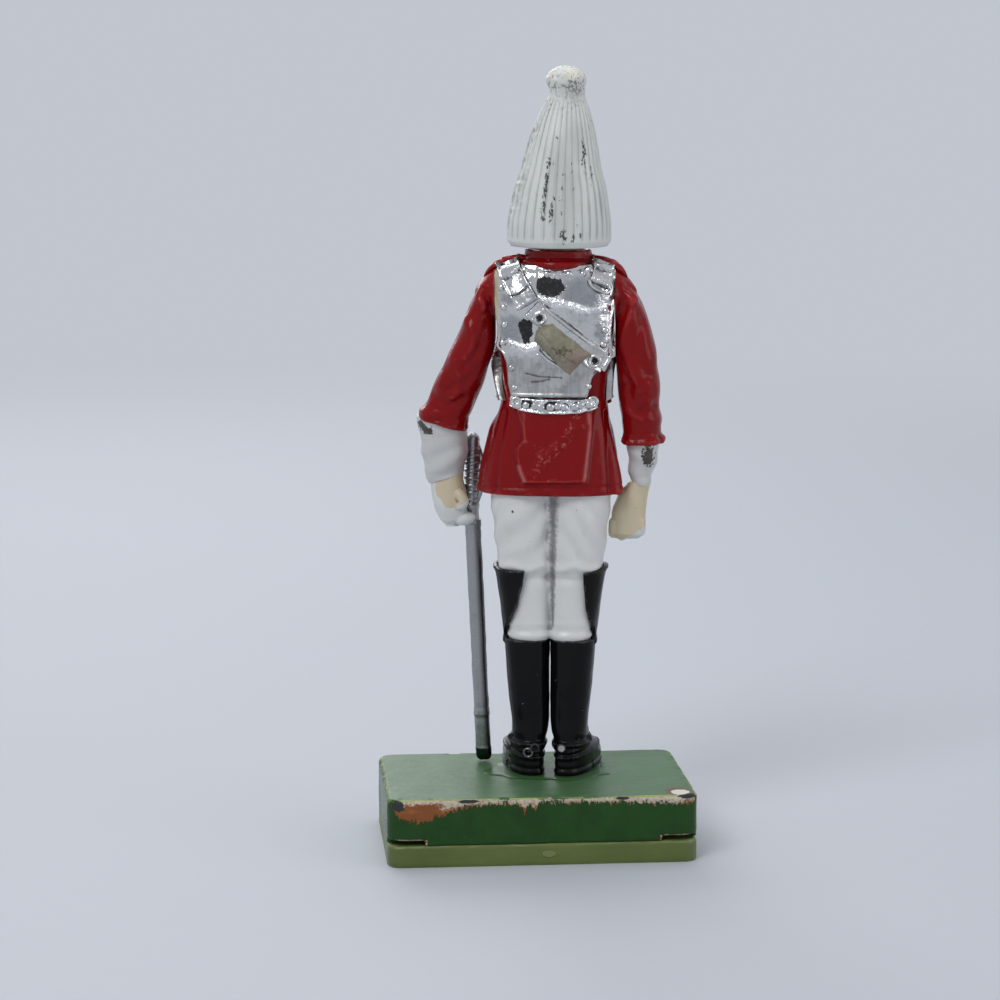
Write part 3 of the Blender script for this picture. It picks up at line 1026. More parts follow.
class OBJECT_OT_soldier_base(Piece, bpy.types.Operator):
    """Painted block on its plastic plate, with thick green paint round the boots"""
    bl_idname = "object.soldier_base"
    bl_label = "Base"

    def make(self, s, p):
        w, d, top = 15.0, 9.5, 6.62
        foot = [(2.17, 0), (2.8, 0)]
        parts = [slab(w, d, 1.5, [(2.67, 0), (4, 0), (5.4, 0), (6.3, 0), (6.5, 0.08), (top, 0.3)]),
                 slab(11.4, d, 0.1, foot), slab(w, 8.0, 0.1, foot)]

        def rim_gap(P):
            inward = np.minimum(w - np.abs(P[:, 0]), d - np.abs(P[:, 1]))
            return np.hypot(np.clip(inward, 0, None), np.clip(top - P[:, 2], 0, None))

        def worn(P, N):
            near = (1 - ease(rim_gap(P), 0.15, 1.1)) * (0.3 + 0.7 * ease(P[:, 1], 8.0, 9.0))
            flake = grain(P, (1.7, 1.2, 0.9), 9) + 0.5 * grain(P, 0.7, 2)
            sweep = grain(P * (0.3, 1.2, 1), 1.2, 4) * 0.025 * ease(N[:, 2], 0.7, 0.95)
            low = 0.05 * grain(P, 3.0, 1) * ease(rim_gap(P), 0.3, 1.2)
            return sweep + low - near * 0.28 * ease(flake, 0.15, 0.5)

        holes = [((14.1, 9.4, 6.1), (0.95, 0.9, 0.6)), ((-14.1, 9.4, 6.5), (1.5, 0.8, 0.3)),
                 ((7.4, 9.5, 6.42), (1.5, 0.6, 0.2)), ((-7.6, 9.5, 6.45), (1.0, 0.6, 0.2))]
        chips = ([-15, -8, -3, 0, 0.5, 0.95, 1.35, 1.9, 2.5, 5, 8, 10.2, 11.6, 13.4, 14.3, 14.8],
                 [0.85, 0.6, 0.5, 0.4, 0.4, 1.35, 0.4, 1.4, 0.6, 0.55, 0.8, 1.7, 2.1, 2.1, 1.2, 0.7])
        marks = {"edge": lambda P, N: 1 - ease(rim_gap(P), 0.1, 0.9),
                 "line": lambda P, N: ease(P[:, 1], 8.4, 8.9) * ease(N[:, 2], 0.2, 0.5) * bell(rim_gap(P) - 0.2, 0.16),
                 "fall": lambda P, N: np.clip((top - P[:, 2]) / 2.5, 0, 1),
                 "notch": lambda P, N: ease(N[:, 1], 0.3, 0.8) * np.maximum(
                     bell(P[:, 2] - 2.76, 0.13) * ease(np.abs(P[:, 0]), 11.2, 11.5),
                     bell(np.abs(P[:, 0]) - 11.35, 0.13) * (P[:, 2] < 2.8)),
                 "front": lambda P, N: ease(N[:, 1], 0.3, 0.8) * np.clip(
                     0.5 + 0.4 * (np.interp(P[:, 0], *chips) - (top - P[:, 2])), 0, 1),
                 "top": lambda P, N: ease(N[:, 2], 0.6, 0.9),
                 "hole": lambda P, N: np.maximum.reduce([oval(P, c, r) for c, r in holes]) * 1.6}
        green = base_green(p)
        dress(cast("painted_block", parts, s.base / MM, 1, worn, marks, BASE, 60), "figure", "base_paint",
              green, "base_block")
        plate = [slab(w, d, 1.5, [(0.6, 0), (1.2, 0), (1.95, 0), (2.12, 0.07), (2.17, 0.2)])]
        rib = [(0, 0), (0.9, 0)]
        plate += [slab(0.8, 7.95, 0.1, rib, (x, 0)) for x in (0, 14.2, -14.2)]
        plate += [slab(13.4, 0.8, 0.1, rib, (0, y)) for y in (8.7, -8.7)]
        plate += [lathe([(0, 0), (1.5, 0), (1.5, 0.9), (0, 0.9)], (x, y, 0), 40)
                  for x in (-13.5, 13.5) for y in (-8, 8)]
        dress(cast("under_plate_moulding", plate, s.base / MM, 1, None, None, BASE, 60), "figure", "base_plastic",
              olive_plastic(p), "under_plate")
        a = np.linspace(0, 2 * np.pi, 220, endpoint=False)
        edge = 1 + 0.06 * np.sin(3 * a + 1) + 0.05 * np.sin(7 * a) + 0.035 * np.sin(13 * a + 2) \
            + 0.12 * bell(a - 0.6, 0.3)
        rings = [(0.02, -0.03), (0.7, -0.03), (1.0, -0.02), (1.03, 0.03), (0.995, 0.09), (0.93, 0.13), (0.8, 0.14),
                 (0.5, 0.13), (0.02, 0.12)]
        t = s.puddle / MM / 0.14
        pool = loft([[(0.2 + r * 5.75 * e * math.cos(q), -0.5 + r * 4.25 * e * math.sin(q), z * t)
                      for q, e in zip(a, edge)] for r, z in rings])
        dress(cast("thick_paint", [pool], 0, marks={"top": lambda P, N: 0.45 * ease(N[:, 2], 0.6, 0.9)}),
              "figure", "base_paint", green)


class OBJECT_OT_soldier_boots(Piece, bpy.types.Operator):
    """Long black boots with stiff cut-away tops, double ankle straps, buckles and spurs"""
    bl_idname = "object.soldier_boots"
    bl_label = "Boots"

    def make(self, s, p):
        black = gloss_black(p)
        cuff_top, spur_x, spur_z = 7.0, 1.31, 3.22
        for side, foot in ((1, "left"), (-1, "right")):
            boot, leg = BOOT[side], LEG[side]
            parts = [loft(boot.skin(levels(0.0, 13.7, 70, 0.5), 96))]
            u, v = steps(60, 12.0, 0.5)[None, :], steps(34, cuff_top, 0.5)[:, None]
            rear = np.interp(v, [0, 0.13, 0.2, 0.33, 0.5, 0.68, 0.78, 1], [14, 16, 25, 50, 71, 80, 86, 91]
                             if side > 0 else [14, 16, 24, 44, 60, 66, 70, 76])
            a = -134 + u * (134 + rear)
            z = KNEE - 0.4 + v * (cuff_top + 0.4 + 0.35 * np.sin(u * np.pi) - 0.12 * np.sin(9 * u + side) * u)
            parts.append(sheath(leg.at(a, z, 0.12), 0.42 + 0.10 * (1 - ease(v, 0.0, 0.12)) + 0.07 * ease(v, 0.93, 1)
                                + 0 * u, (LEG_X + side * 2.4, 0, 17)))
            for z0, lift, r in ((1.95, 0.5, 0.15), (2.6, 1.3, 0.17)):
                loop = [boot.at(q, z0 + lift * (1 - math.sin(math.radians(q))) / 2, 0.05) for q in range(0, 361, 12)]
                parts.append(tube(np.array(loop), r, 10, 1.0))
            x, heel_y = LEG_X + side * spur_x, boot.at(90, spur_z)[1]
            root = (x, heel_y + 0.25, spur_z)
            parts.append(finger([boot.at(q, spur_z, 0.1) for q in (10, 35, 60)] + [root], [0.2, 0.24]))
            parts.append(finger([boot.at(170, spur_z, 0.1), boot.at(140, spur_z, 0.12), root], [0.2, 0.24]))
            parts.append(finger([(x, heel_y - 0.2, spur_z), (x, heel_y + 0.75, spur_z - 0.05)], 0.26))
            parts.append(lathe([(0.16, -0.2), (0.42, -0.2), (0.47, 0), (0.42, 0.2), (0.16, 0.2), (0.14, 0)],
                               (x, heel_y + 0.85, spur_z - 0.06), 28, "Y"))
            parts.append(ball(boot.at(5, 3.45, 0.05), 0.34, 16))
            parts.append(lathe([(0, -2.0), (0.9, -2.0), (0.9, 0.9), (0, 0.9)], (LEG_X + side * 2.034, -1.0, 0), 40))

            def worked(P, N):
                sole = -0.13 * bell(P[:, 2] - 0.85, 0.14) * ease(-P[:, 2], -2.2, -0.3)
                crease = 0.10 * np.sin(P[:, 2] * 4.6 + 0.8 * np.sin(P[:, 0] * 1.4)) * ease(P[:, 2], 2.8, 3.6) \
                    * (1 - ease(P[:, 2], 4.6, 6.4)) * ease(-P[:, 1], -0.4, 1.2)
                knee = 0.08 * bell(P[:, 2] - KNEE, 0.35)
                heel = -0.16 * bell(P[:, 1] + 0.9, 0.16) * (1 - ease(P[:, 2], 0.8, 1.1))
                return np.where(P[:, 2] < 0.02, 0, sole + crease + knee + heel + 0.03 * grain(P, 1.2, 5))

            marks = {"silver": lambda P, N: oval(P, (x, heel_y + 0.9, spur_z - 0.06), (0.55, 0.5, 0.55))
                     + (-0.85 if side > 0 else 0.15)}
            dress(cast("long_boot_" + foot, parts, s.skin / MM * 0.85, 2, worked, marks, FIGURE, 50), "figure",
                  "boot_black", black, foot + "_boot")
        places = [BOOT[side].depth(x, z, 0.2) for side, x, z in ((1, 2.43, 2.5), (-1, -2.31, 2.45))]
        buckle = silver(p, "buckle silver", (0.16, 0.16, 0.165))
        dress(repeat("strap_buckles", places, [(0.1, 1, 0), (-0.1, 1, 0)], 1, "ring", 0.42, 0.12),
              "figure", "boot_black", buckle)


class OBJECT_OT_soldier_breeches(Piece, bpy.types.Operator):
    """White breeches, creased between the legs and stuffed into the boot tops"""
    bl_idname = "object.soldier_breeches"
    bl_label = "Breeches"

    def make(self, s, p):
        parts = [loft(LEG[side].skin(levels(KNEE, KNEE + 15.3, 80, 0.6), 110)) for side in (1, -1)]
        web = [[(LEG_X + x * half, y, z) for x, y in ((-1, front), (1, front), (1, back), (-1, back))]
               for z, half, front, back in ((KNEE, 0.3, -0.3, 1.5), (20, 0.55, -0.9, 1.75), (26, 0.95, -1.7, 2.1),
                                            (28.9, 1.2, -2.2, 2.5))]
        parts.append(loft(web))
        parts.append(lathe([(0, 28), (1.6, 28), (1.6, 32.0), (0, 32.0)], (0, 0, 0), 40))

        def folds(P, N):
            x, y, z = P.T
            back = ease(N[:, 1], 0.1, 0.6)
            ledge = 0.22 * bell(z - 20.95 - 0.2 * np.sin(x * 2), 0.45) - 0.20 * bell(z - 19.9, 0.5)
            pulls = 0.10 * np.sin(z * 1.7 + 2.2 * np.abs(x) + 1.3 * np.sin(x)) * ease(z, 21, 23) \
                * (1 - ease(z, 26.5, 28))
            knee = 0.12 * bell(z - 14.2, 0.35) + 0.05 * np.sin(z * 5) * (1 - ease(z, 14.6, 16.5))
            seat = 0.18 * bell(np.abs(x - LEG_X) - 2.9, 1.5, z - 26.3, 2.0) * back
            return ledge * back + pulls + knee + seat + 0.04 * grain(P, 1.4, 6)

        marks = {"crease": lambda P, N: np.where(P[:, 1] > 0.5, 1.25 - np.abs(P[:, 0] + 0.15) / (
                     0.16 + 0.045 * np.clip(P[:, 2] - KNEE, 0, 15)), 0) * ease(P[:, 2], 14.4, 15.4),
                 "chip": lambda P, N: (P[:, 1] > 0) * np.maximum(
                     0.4 + oval(view(P), (3.72, 26.6), (0.13, 0.16)), 0.4 + oval(view(P), (-2.5, 26.8), (0.1, 0.12)))}
        dress(cast("white_breeches", parts, s.skin / MM, 3, folds, marks), "figure", "breeches_white",
              plain_white(p), "breeches")


class OBJECT_OT_soldier_tunic(Piece, bpy.types.Operator):
    """Red tunic: flared skirt with its embossed panel, collar rolls and shoulder cords"""
    bl_idname = "object.soldier_tunic"
    bl_label = "Tunic"

    def make(self, s, p):
        high = s.fold / MM
        ring = lambda z, off: TUNIC.skin([z], 128, off)[0]
        bottom = [ring(HEM, -0.5) + (0, 0, 0.8), ring(HEM, -0.5), ring(HEM, -0.12), ring(HEM, 0) + (0, 0, 0.12)]
        rows = list(TUNIC.skin(levels(HEM + 0.3, SHOULDER, 90, 0.5), 128))
        parts = [loft(bottom + rows)]
        roll = [(0, 50.0), (3.1, 50.0), (3.6, 50.12), (3.84, 50.42), (3.72, 50.8), (3.32, 50.98), (3.16, 51.05),
                (3.2, 51.3), (3.2, 51.65), (3.08, 51.85), (2.85, 51.9), (2.62, 51.75), (2.45, 51.2), (0, 51.15)]
        parts.append(lathe(spline(roll, 60), (NECK_X, 0, 0), 120))
        for side in (1, -1):
            path = [(2.2, 50.9), (3.3, 51.0), (4.6, 50.85), (5.6, 50.45), (6.3, 49.95), (6.75, 49.45), (7.0, 48.95)]
            P = spline([(TORSO_X + side * x, 0.5, z) for x, z in path], 60)
            wide = (0.22 if side > 0 else 0.3) * (0.9 + 0.4 * np.sin(np.linspace(0, np.pi, 60)))
            wide[-14:] *= np.linspace(1, 0.25, 14)
            parts.append(tube(P, wide, 20, 2.0))
        panel = [(3.35, 36.6), (2.67, 34.66), (2.58, 33.69), (3.26, 32.9), (3.26, 31.93), (2.68, 29.5),
                 (-3.31, 29.6), (-3.59, 32.27), (-3.78, 34.21), (-3.87, 36.6)]

        def folds(P, N):
            x, y, z = P.T
            back = ease(N[:, 1], 0.0, 0.5)
            flat = view(P)
            lift = 0.30 * ease(within(panel, flat), -0.12, 0.16) * back
            ridge = 0.16 * bell(to_line([(1.9, 30.1), (0.07, 32.26), (-2.5, 34.9)], flat), 0.55) * back
            edge = 0.16 * bell(within(panel, flat), 0.2) * back
            hem = 0.05 * bell(z - 28.6, 0.2) - 0.05 * bell(z - 29.05, 0.15)
            skirt = 1 - ease(z, 34.0, 36.2)
            a = np.arctan2(y, x - 0.17)
            pleat = high * 0.9 * np.cos(11 * a + 0.6 * np.sin(3 * a)) * skirt * (1 - back * 0.85)
            crease = -0.35 * bell(to_line([(-5.35, 36.2), (-5.55, 33), (-5.75, 28.4)], flat), 0.28) * back
            crease += 0.30 * bell(to_line([(-6.5, 33.2), (-6.62, 28.6)], flat), 0.4) * ease(y, 0.3, 1.4)
            left = -0.25 * bell(to_line([(4.6, 36.2), (5.2, 32), (5.5, 28.4)], flat), 0.3) * back
            knob = 0.3 * bell(to_line([(6.1, 35.9), (6.2, 34.6)], flat), 0.35) * ease(y, 0.5, 1.5)
            neck = 50.95 < z
            band = 0.10 * neck * ease(x, -3.12, -3.0) * (y > 0) * (z < 51.8)
            cords = 0.05 * np.sin(6.5 * (np.abs(x) * 0.8 + y)) * ease(z, 50.45, 50.6) * (1 - neck) \
                * ease(np.hypot(x - NECK_X, y), 4.0, 4.3)
            waist = 0.08 * grain(P, (1.0, 1.0, 2.4), 8) * ease(z, 36.5, 38) * (1 - ease(z, 49, 50))
            return np.where(z < HEM + 0.05, 0, lift + ridge + edge + hem + pleat + crease + left + knob + band
                            + cords + waist + 0.04 * grain(P, 1.5, 2))

        scuffs = [[(2.75, 36.3), (2.5, 35.4), (2.45, 33.6)], [(3.15, 32.6), (3.1, 31.2), (2.6, 29.8)],
                  [(-3.6, 36.2), (-3.75, 34.6), (-3.55, 32.4), (-3.3, 29.9)], [(2.5, 29.7), (-3.2, 29.7)]]
        rubs = [[(1.6, 30.6), (0.2, 32.0)], [(-0.4, 32.4), (-1.9, 33.9)], [(-1.4, 34.2), (-2.4, 35.9)],
                [(0.9, 31.6), (1.3, 32.8)]]
        marks = {"shine": lambda P, N: (P[:, 1] > 1) * np.maximum.reduce([
                     bell(to_line(spline(line, 20), view(P)), 0.17) * ease(grain(P, (0.5, 1, 1.1), 4), -0.5, 0.1)
                     for line in scuffs[:3]]),
                 "rub": lambda P, N: (P[:, 1] > 1) * np.maximum.reduce(
                     [0.35 * stroke(line, P, 0.3, 1.2) for line in scuffs[3:]]
                     + [0.6 * stroke(line, P, 0.9, 1.2) for line in rubs])}
        dress(cast("red_tunic", parts, s.skin / MM, 3, folds, marks), "figure", "tunic_red", gloss_red(p), "tunic")


BACK_LEFT = [(37.6, 3.7), (38.96, 3.95), (41.14, 4.25), (42.0, 4.55), (42.75, 5.1), (43.5, 5.0), (44.4, 5.0),
             (46, 5.15), (48.2, 5.3), (50.4, 5.1)]
BACK_RIGHT = [(37.6, -3.45), (38.7, -3.65), (39.9, -3.95), (40.8, -4.85), (42.1, -5.45), (43.9, -5.45), (46.5, -5.6),
              (48.1, -5.75), (50.4, -5.4)]
# Side angles of the breastplate's rear edges: positive is round towards the back
FRONT_LEFT = [(37.2, 34), (38.4, 20), (39.8, 6), (41.2, -5), (42.2, -16), (43.2, -27), (45.0, -31), (49, -33),
              (50, -34)]
FRONT_RIGHT = [(37.2, 165), (39.8, 167), (41.2, 176), (42.6, 198), (45.0, 211), (49, 213), (50, 214)]


class OBJECT_OT_soldier_cuirass(Piece, bpy.types.Operator):
    """Plated backplate and breastplate with raised rims and rows of rivets"""
    bl_idname = "object.soldier_cuirass"
    bl_label = "Cuirass"

    def make(self, s, p):
        plated(p)
        rim = s.rim / MM
        z = levels(37.75, 50.25, 110)[:, None]
        left, right = (TUNIC.angle(edge_x(edge, z) - TORSO_X, z, 0.08) for edge in (BACK_LEFT, BACK_RIGHT))
        grid = lap(right, left, z, steps(100, 11.0)[None, :])
        x, z = grid[..., 0], grid[..., 2]
        blade = 0.16 * (bell(x - 2.3, 1.9, z - 46.3, 2.3) + bell(x + 2.8, 1.9, z - 46.3, 2.3))
        spine = -0.06 * bell(x + 0.25, 0.55) * ease(z, 38, 41) * (1 - ease(z, 47, 49))
        waist = 0.14 * bell(z - 41.2 - 0.25 * np.sin(x * 0.8), 0.8)
        height = plate_height(grid, rim, blade + spine + waist)
        dents = lambda P, N: (0.045 * grain(P, 1.1, 4) + 0.06 * grain(P, 2.6, 3)) * ease(
            np.minimum.reduce([5.2 - np.abs(P[:, 0] + 0.3), 49.2 - P[:, 2], P[:, 2] - 38]), 0, 1)

        def blots(P, places, ragged):
            Q = view(P) + ragged * np.stack([grain(P, 0.45, 1), grain(P, 0.45, 5)], 1)
            return np.maximum.reduce([oval(Q, c, r) for c, r in places]) * (P[:, 1] > 2)

        rubbed = [((0.12, 48.45), (1.55, 1.2)), ((2.45, 44.3), (0.78, 1.2))]
        shaded = [((-3.0, 47.9), (2.7, 1.9)), ((3.8, 44.4), (1.7, 1.7)), ((-4.9, 44.1), (1.0, 1.3)),
                  ((4.2, 47.3), (0.9, 0.7))]
        marks = {"bare": lambda P, N: np.clip(0.42 + 1.3 * blots(P, rubbed, 0.3), 0, 1),
                 "creased": lambda P, N: stroke([(0.9, 47.3), (-1.2, 46.9), (-3.2, 46.3), (-5.3, 46.4)], P,
                                                0.55 + 0.3 * grain(P, 1.2, 14))
                 + stroke([(4.2, 43.1), (2.4, 42.5), (0.9, 42.9)], P, 0.5)
                 + stroke([(3.4, 50.3), (2.9, 49.9)], P, 0.5) + 0.8 * stroke([(-5.5, 45.9), (-5.4, 43.4)], P, 0.4),
                 "beige": lambda P, N: (ease(P[:, 0], 5.0, 5.3) * ease(P[:, 2], 43.0, 44.2)
                                        + 0.45 * ease(-P[:, 0], 5.5, 5.8)) * (P[:, 1] > 0),
                 "dull": lambda P, N: 1.05 * (1 - ease(P[:, 2], 41.0, 42.6)) + 0.3 * grain(P, 2.2, 7),
                 "shade": lambda P, N: np.clip(0.5 + blots(P, shaded, 0.35), 0, 1),
                 "scratch": lambda P, N: np.maximum(
                     1.0 - to_line([(2.5, 40.15), (1.2, 39.85), (-1.0, 39.75)], view(P)) / 0.2,
                     0.9 - to_line([(1.9, 39.3), (0.9, 39.4), (0.2, 39.6)], view(P)) / 0.3)}
        plate_dress(cast("plated_backplate", [sheath(grid, height)], 0, shape=dents, marks=marks, sharp=60),
                    "backplate")

        z = levels(37.3, 49.9, 90)[:, None]
        grid = lap(edge_x(FRONT_RIGHT, z), edge_x(FRONT_LEFT, z) + 360, z, steps(100, 14.0)[None, :])
        x, z = grid[..., 0], grid[..., 2]
        keel = 0.55 * np.exp(-(np.abs(x + 0.2) / 1.1) ** 1.6) * ease(z, 38, 41.5) * (1 - ease(z, 46, 49.4))
        chest = 0.22 * (bell(x - 2.2, 1.7, z - 46.2, 2.1) + bell(x + 2.6, 1.7, z - 46.2, 2.1))
        height = plate_height(grid, rim, keel + chest) \
            + 0.45 * (1 - ease(borders(grid)[1], 0.2, 1.0)) * bell(z - 41.0, 2.0)
        marks = {"dull": lambda P, N: 0.9 * (1 - ease(P[:, 2], 40.5, 42.2)) + 0.4 * grain(P, 2.2, 3),
                 "beige": lambda P, N: 0.5 * ease(np.abs(P[:, 0] + 0.2), 5.2, 5.5) * (P[:, 2] > 43)}
        plate_dress(cast("plated_breastplate", [sheath(grid, height)], 0,
                         shape=lambda P, N: 0.035 * grain(P, 1.3, 4), marks=marks, sharp=60), "breastplate")

        back = [(2.6, 50.0), (0.48, 49.66), (-1.62, 49.66), (-2.95, 49.7), (4.85, 48.29), (4.62, 46.47), (4.55, 44.74),
                (4.75, 43.01), (-5.3, 48.0), (-5.2, 46.1), (-5.12, 44.3), (-4.95, 42.9), (3.9, 40.6), (3.6, 38.7),
                (-3.6, 38.9)]
        front = [(x, z) for x in (4.3, -4.7) for z in (38.6, 40.8, 43, 45.4, 47.6)]
        front += [(x, 48.9) for x in (-2.6, -1.0, 0.6, 2.2)]
        places, aims = (b + f for b, f in zip(seats(back, 0.62), seats(front, 0.6, -1)))
        share = 0.85 + 0.3 * (grain(np.array(places), 1.0, 3) * 0.5 + 0.5)
        plate_dress(repeat("cuirass_rivets", places, aims, share, "stud", s.rivet / MM, 0.22))


def strap_lane(rows, v, off, wide):
    """Line over a shoulder at a place v across the strap, from the back to the breast"""
    P = []
    for x, z, slant in rows:
        c = math.radians(slant)
        P.append(TUNIC.depth(x + v * wide * math.cos(c), z - v * wide * math.sin(c), off))
    for y in (0.62, 0.3, 0, -0.3, -0.62):
        P.append((TORSO_X + 4.3 + v * 1.95, y * 0.4 * 8.4, 50.72 - 0.7 * (v + 0.5) ** 1.4 - 0.3 * abs(y)))
    for share, z in ((1, 0.962), (0.994, 0.938), (0.978, 0.89), (0.947, 0.83), (0.916, 0.77)):
        P.append(TUNIC.depth(TORSO_X + share * 4.4 + v * 1.95, HEM + 22.4 * z, off, -1))
    return spline(P, 150)


class OBJECT_OT_soldier_straps(Piece, bpy.types.Operator):
    """Scaled shoulder straps in overlapping tiers, with raised edges, end tabs and a buckle"""
    bl_idname = "object.soldier_straps"
    bl_label = "Shoulder scales"

    def make(self, s, p):
        left = [(2.15, 46.75, 32), (2.65, 47.55, 31), (3.2, 48.45, 29), (3.65, 49.25, 22), (3.9, 49.8, 12),
                (4.05, 50.15, 3)]
        right = [(3.95, 48.75, 24), (4.1, 49.1, 20), (4.25, 49.5, 14), (4.33, 49.85, 8), (4.35, 50.15, 3)]
        v = steps(26, 2.3, 0.3) - 0.5
        for side, shoulder, rows, wide in ((1, "left", left, 2.35), (-1, "right", right, 1.9)):
            grid = np.stack([strap_lane(rows, k, 0.78, wide) for k in v], 1)
            a, b, low, high = borders(grid)
            cross = np.clip(2 * v[None, :], -1, 1)
            tier = (low - 0.55 * (1 - np.sqrt(np.clip(1 - 0.9 * cross ** 2, 0, 1))) + 0.35) / 1.75
            frac = tier - np.floor(tier)
            lip = bell(frac - 0.10, 0.07)
            step = (1 - frac) ** 0.8 * 0.34 * ease(frac, 0.0, 0.05)
            gap = np.minimum(a, b)
            body = (0.16 + step + 0.06 * lip) * rounded(np.minimum(gap, np.minimum(low, high)), 0.2)
            part = sheath(grid, 0.06 + body + bead(0.13, gap, 0.22, 0.36, 0.12), (4.5, 0, 46))
            if side < 0:
                part = mirrored(part, TORSO_X)
            marks = {"dull": lambda P, N: 0.3 + 0.5 * grain(P, 1.6, 12),
                     "shade": lambda P, N: 0.5 + 0.6 * grain(P, 1.3, 4)}
            plate_dress(cast(shoulder + "_scales", [part], 0, marks=marks, sharp=60,
                             shape=lambda P, N: 0.02 * grain(P, 0.7, 6)), shoulder + "_shoulder_scales")
        loop = [(-3.55, 49.2), (-3.75, 48.7), (-4.6, 48.1), (-5.3, 47.9), (-5.6, 48.2), (-4.9, 48.75), (-4.1, 49.1),
                (-3.55, 49.2)]
        parts = [tube(lying(spline(loop, 48), 0.85), 0.14, 12),
                 tube(lying(spline([(-5.5, 48.9), (-5.75, 48.4), (-5.6, 47.6)], 14), 0.95), 0.11, 10)]
        parts += [ball(tab, (0.5, 0.3, 0.42), 16) for tab in lying([(2.95, 50.2), (-3.5, 50.0)], 0.6)]
        plate_dress(cast("strap_buckle", parts, 0, sharp=70))


class OBJECT_OT_soldier_belts(Piece, bpy.types.Operator):
    """Waist belt with its bosses and clasp, cross belt with its edges and ring bosses, and the pouch"""
    bl_idname = "object.soldier_belts"
    bl_label = "Belts and pouch"

    def make(self, s, p):
        rubbed = [((2.4, 37.1), (0.95, 0.45)), ((-0.05, 36.95), (0.85, 0.55)), ((-1.35, 36.95), (0.35, 0.4)),
                  ((1.2, 36.9), (0.25, 0.4)), ((-2.5, 37.05), (0.3, 0.35))]
        for back, end, left, right in ((1, "back", 3.85, -4.4), (-1, "front", 5.0, -5.35)):
            u, v = steps(110, 10.0)[None, :], steps(26, 1.45)[:, None]
            dip = np.sin(u * np.pi) ** 0.8
            top, low = 37.88 + 0.1 * u - 0.26 * dip, 36.72 + 0.12 * u - 0.66 * dip
            z = low + (top - low) * v
            grid = lap(*(TUNIC.angle(x - TORSO_X, 37.1, 0.1, back) for x in (right, left)), z, u)
            gap = np.minimum.reduce(borders(grid))
            height = 0.06 + 0.34 * rounded(gap, 0.2) + bead(0.11, gap, 0.2, 0.34, 0.1)
            marks = {"creased": lambda P, N: 0.25 + 0.5 * grain(P, 0.7, 2)}
            if back > 0:
                marks["bare"] = lambda P, N: np.clip(
                    0.45 + np.maximum.reduce([oval(view(P), c, r) for c, r in rubbed]), 0, 1)
            plate_dress(cast("waist_belt_" + end, [sheath(grid, height)], 0,
                             shape=lambda P, N: 0.05 * grain(P, 0.55, 3), marks=marks, sharp=60), end + "_belt")
        places, aims = [], []
        for side, low, high, count in ((1, -3.6, 3.15, s.bosses), (-1, -4.8, 4.4, s.bosses + 2)):
            row = np.linspace(low, high, count) + 0.12 * np.sin(np.arange(count) * 2.4)
            row = [(x, 37.12 - 0.26 * np.cos(x * 0.42) + 0.08 * math.sin(i * 1.9)) for i, x in enumerate(row)]
            points, away = seats(row, 0.52, side)
            places += points
            aims += away
        share = 0.55 + 0.8 * (grain(np.array(places), 0.9, 5) * 0.5 + 0.5)
        plate_dress(repeat("belt_bosses", places, aims, share, "stud", s.boss / MM, 0.2, 12))
        ends, rings = [(3.4, 37.3), (-4.0, 37.4)], [(1.1, 45.52), (-4.16, 41.42)]
        places = [*lying(ends, 0.62), *lying(rings, 1.2)]
        aims = lying(ends + rings, 1.6) - lying(ends + rings, 0.6)
        plate_dress(repeat("ring_bosses", places, aims, [0.85, 0.85, 1, 1], "ring", 0.52, 0.17))
        clasp = []
        for x in (-0.85, 0.45):
            c, n = TUNIC.depth(x, 37.1, 0.5, -1), TUNIC.depth(x, 37.1, 0.95, -1)
            clasp.append(tube([c, (c + n) / 2, n], [0.62, 0.62, 0.496], 24))
        c = TUNIC.depth(-0.2, 37.1, 0.75, -1)
        clasp.append(finger([c + (-0.5, 0, 0.1), c + (0, -0.25, -0.1), c + (0.5, 0, 0.1)], 0.16))
        plate_dress(cast("belt_clasp", clasp, 0, sharp=60))

        way = spline([(1.9, 46.5), (1.3, 45.95), (0.55, 45.4), (-0.35, 44.75), (-1.25, 44.05), (-2.1, 43.4),
                      (-2.95, 42.7), (-3.7, 42.05), (-4.4, 41.45), (-5.05, 40.95)], 90)
        t = np.gradient(way, axis=0)
        t /= np.linalg.norm(t, axis=1)[:, None]
        across = np.stack([-t[:, 1], t[:, 0]], 1)
        v = steps(18, 1.8, 0.28) - 0.5
        share = np.linspace(0, 1, 90)[None, :]
        spread = 1.85 + 0.5 * bell(share - 0.86, 0.07) + 0.2 * bell(share - 0.1, 0.1)
        flat = way[None] + across[None] * (v[:, None] * spread)[..., None]
        grid = TUNIC.depth(flat[..., 0], flat[..., 1], 0.8)
        gap = np.minimum.reduce(borders(grid))
        side_gap = np.minimum(*borders(grid)[2:])
        height = 0.06 + 0.26 * rounded(gap, 0.18) + 0.14 * (1 - ease(side_gap, 0.24, 0.38)) * ease(gap, 0, 0.1)
        marks = {"dull": lambda P, N: 0.2 + 0.6 * grain(P, 1.2, 6),
                 "bare": lambda P, N: np.maximum.reduce([0.35 + oval(view(P), c, 0.4) for c in rings]).clip(0, 1)}
        cap = lying(spline([(-4.85, 40.45), (-5.25, 41.1), (-5.6, 41.75)], 16), 0.95)
        parts = [sheath(grid, height), tube(cap, 0.3, 14)]
        plate_dress(cast("cross_belt_strap", parts, 0, marks=marks, sharp=60,
                         shape=lambda P, N: 0.02 * grain(P, 0.8, 2)), "cross_belt")

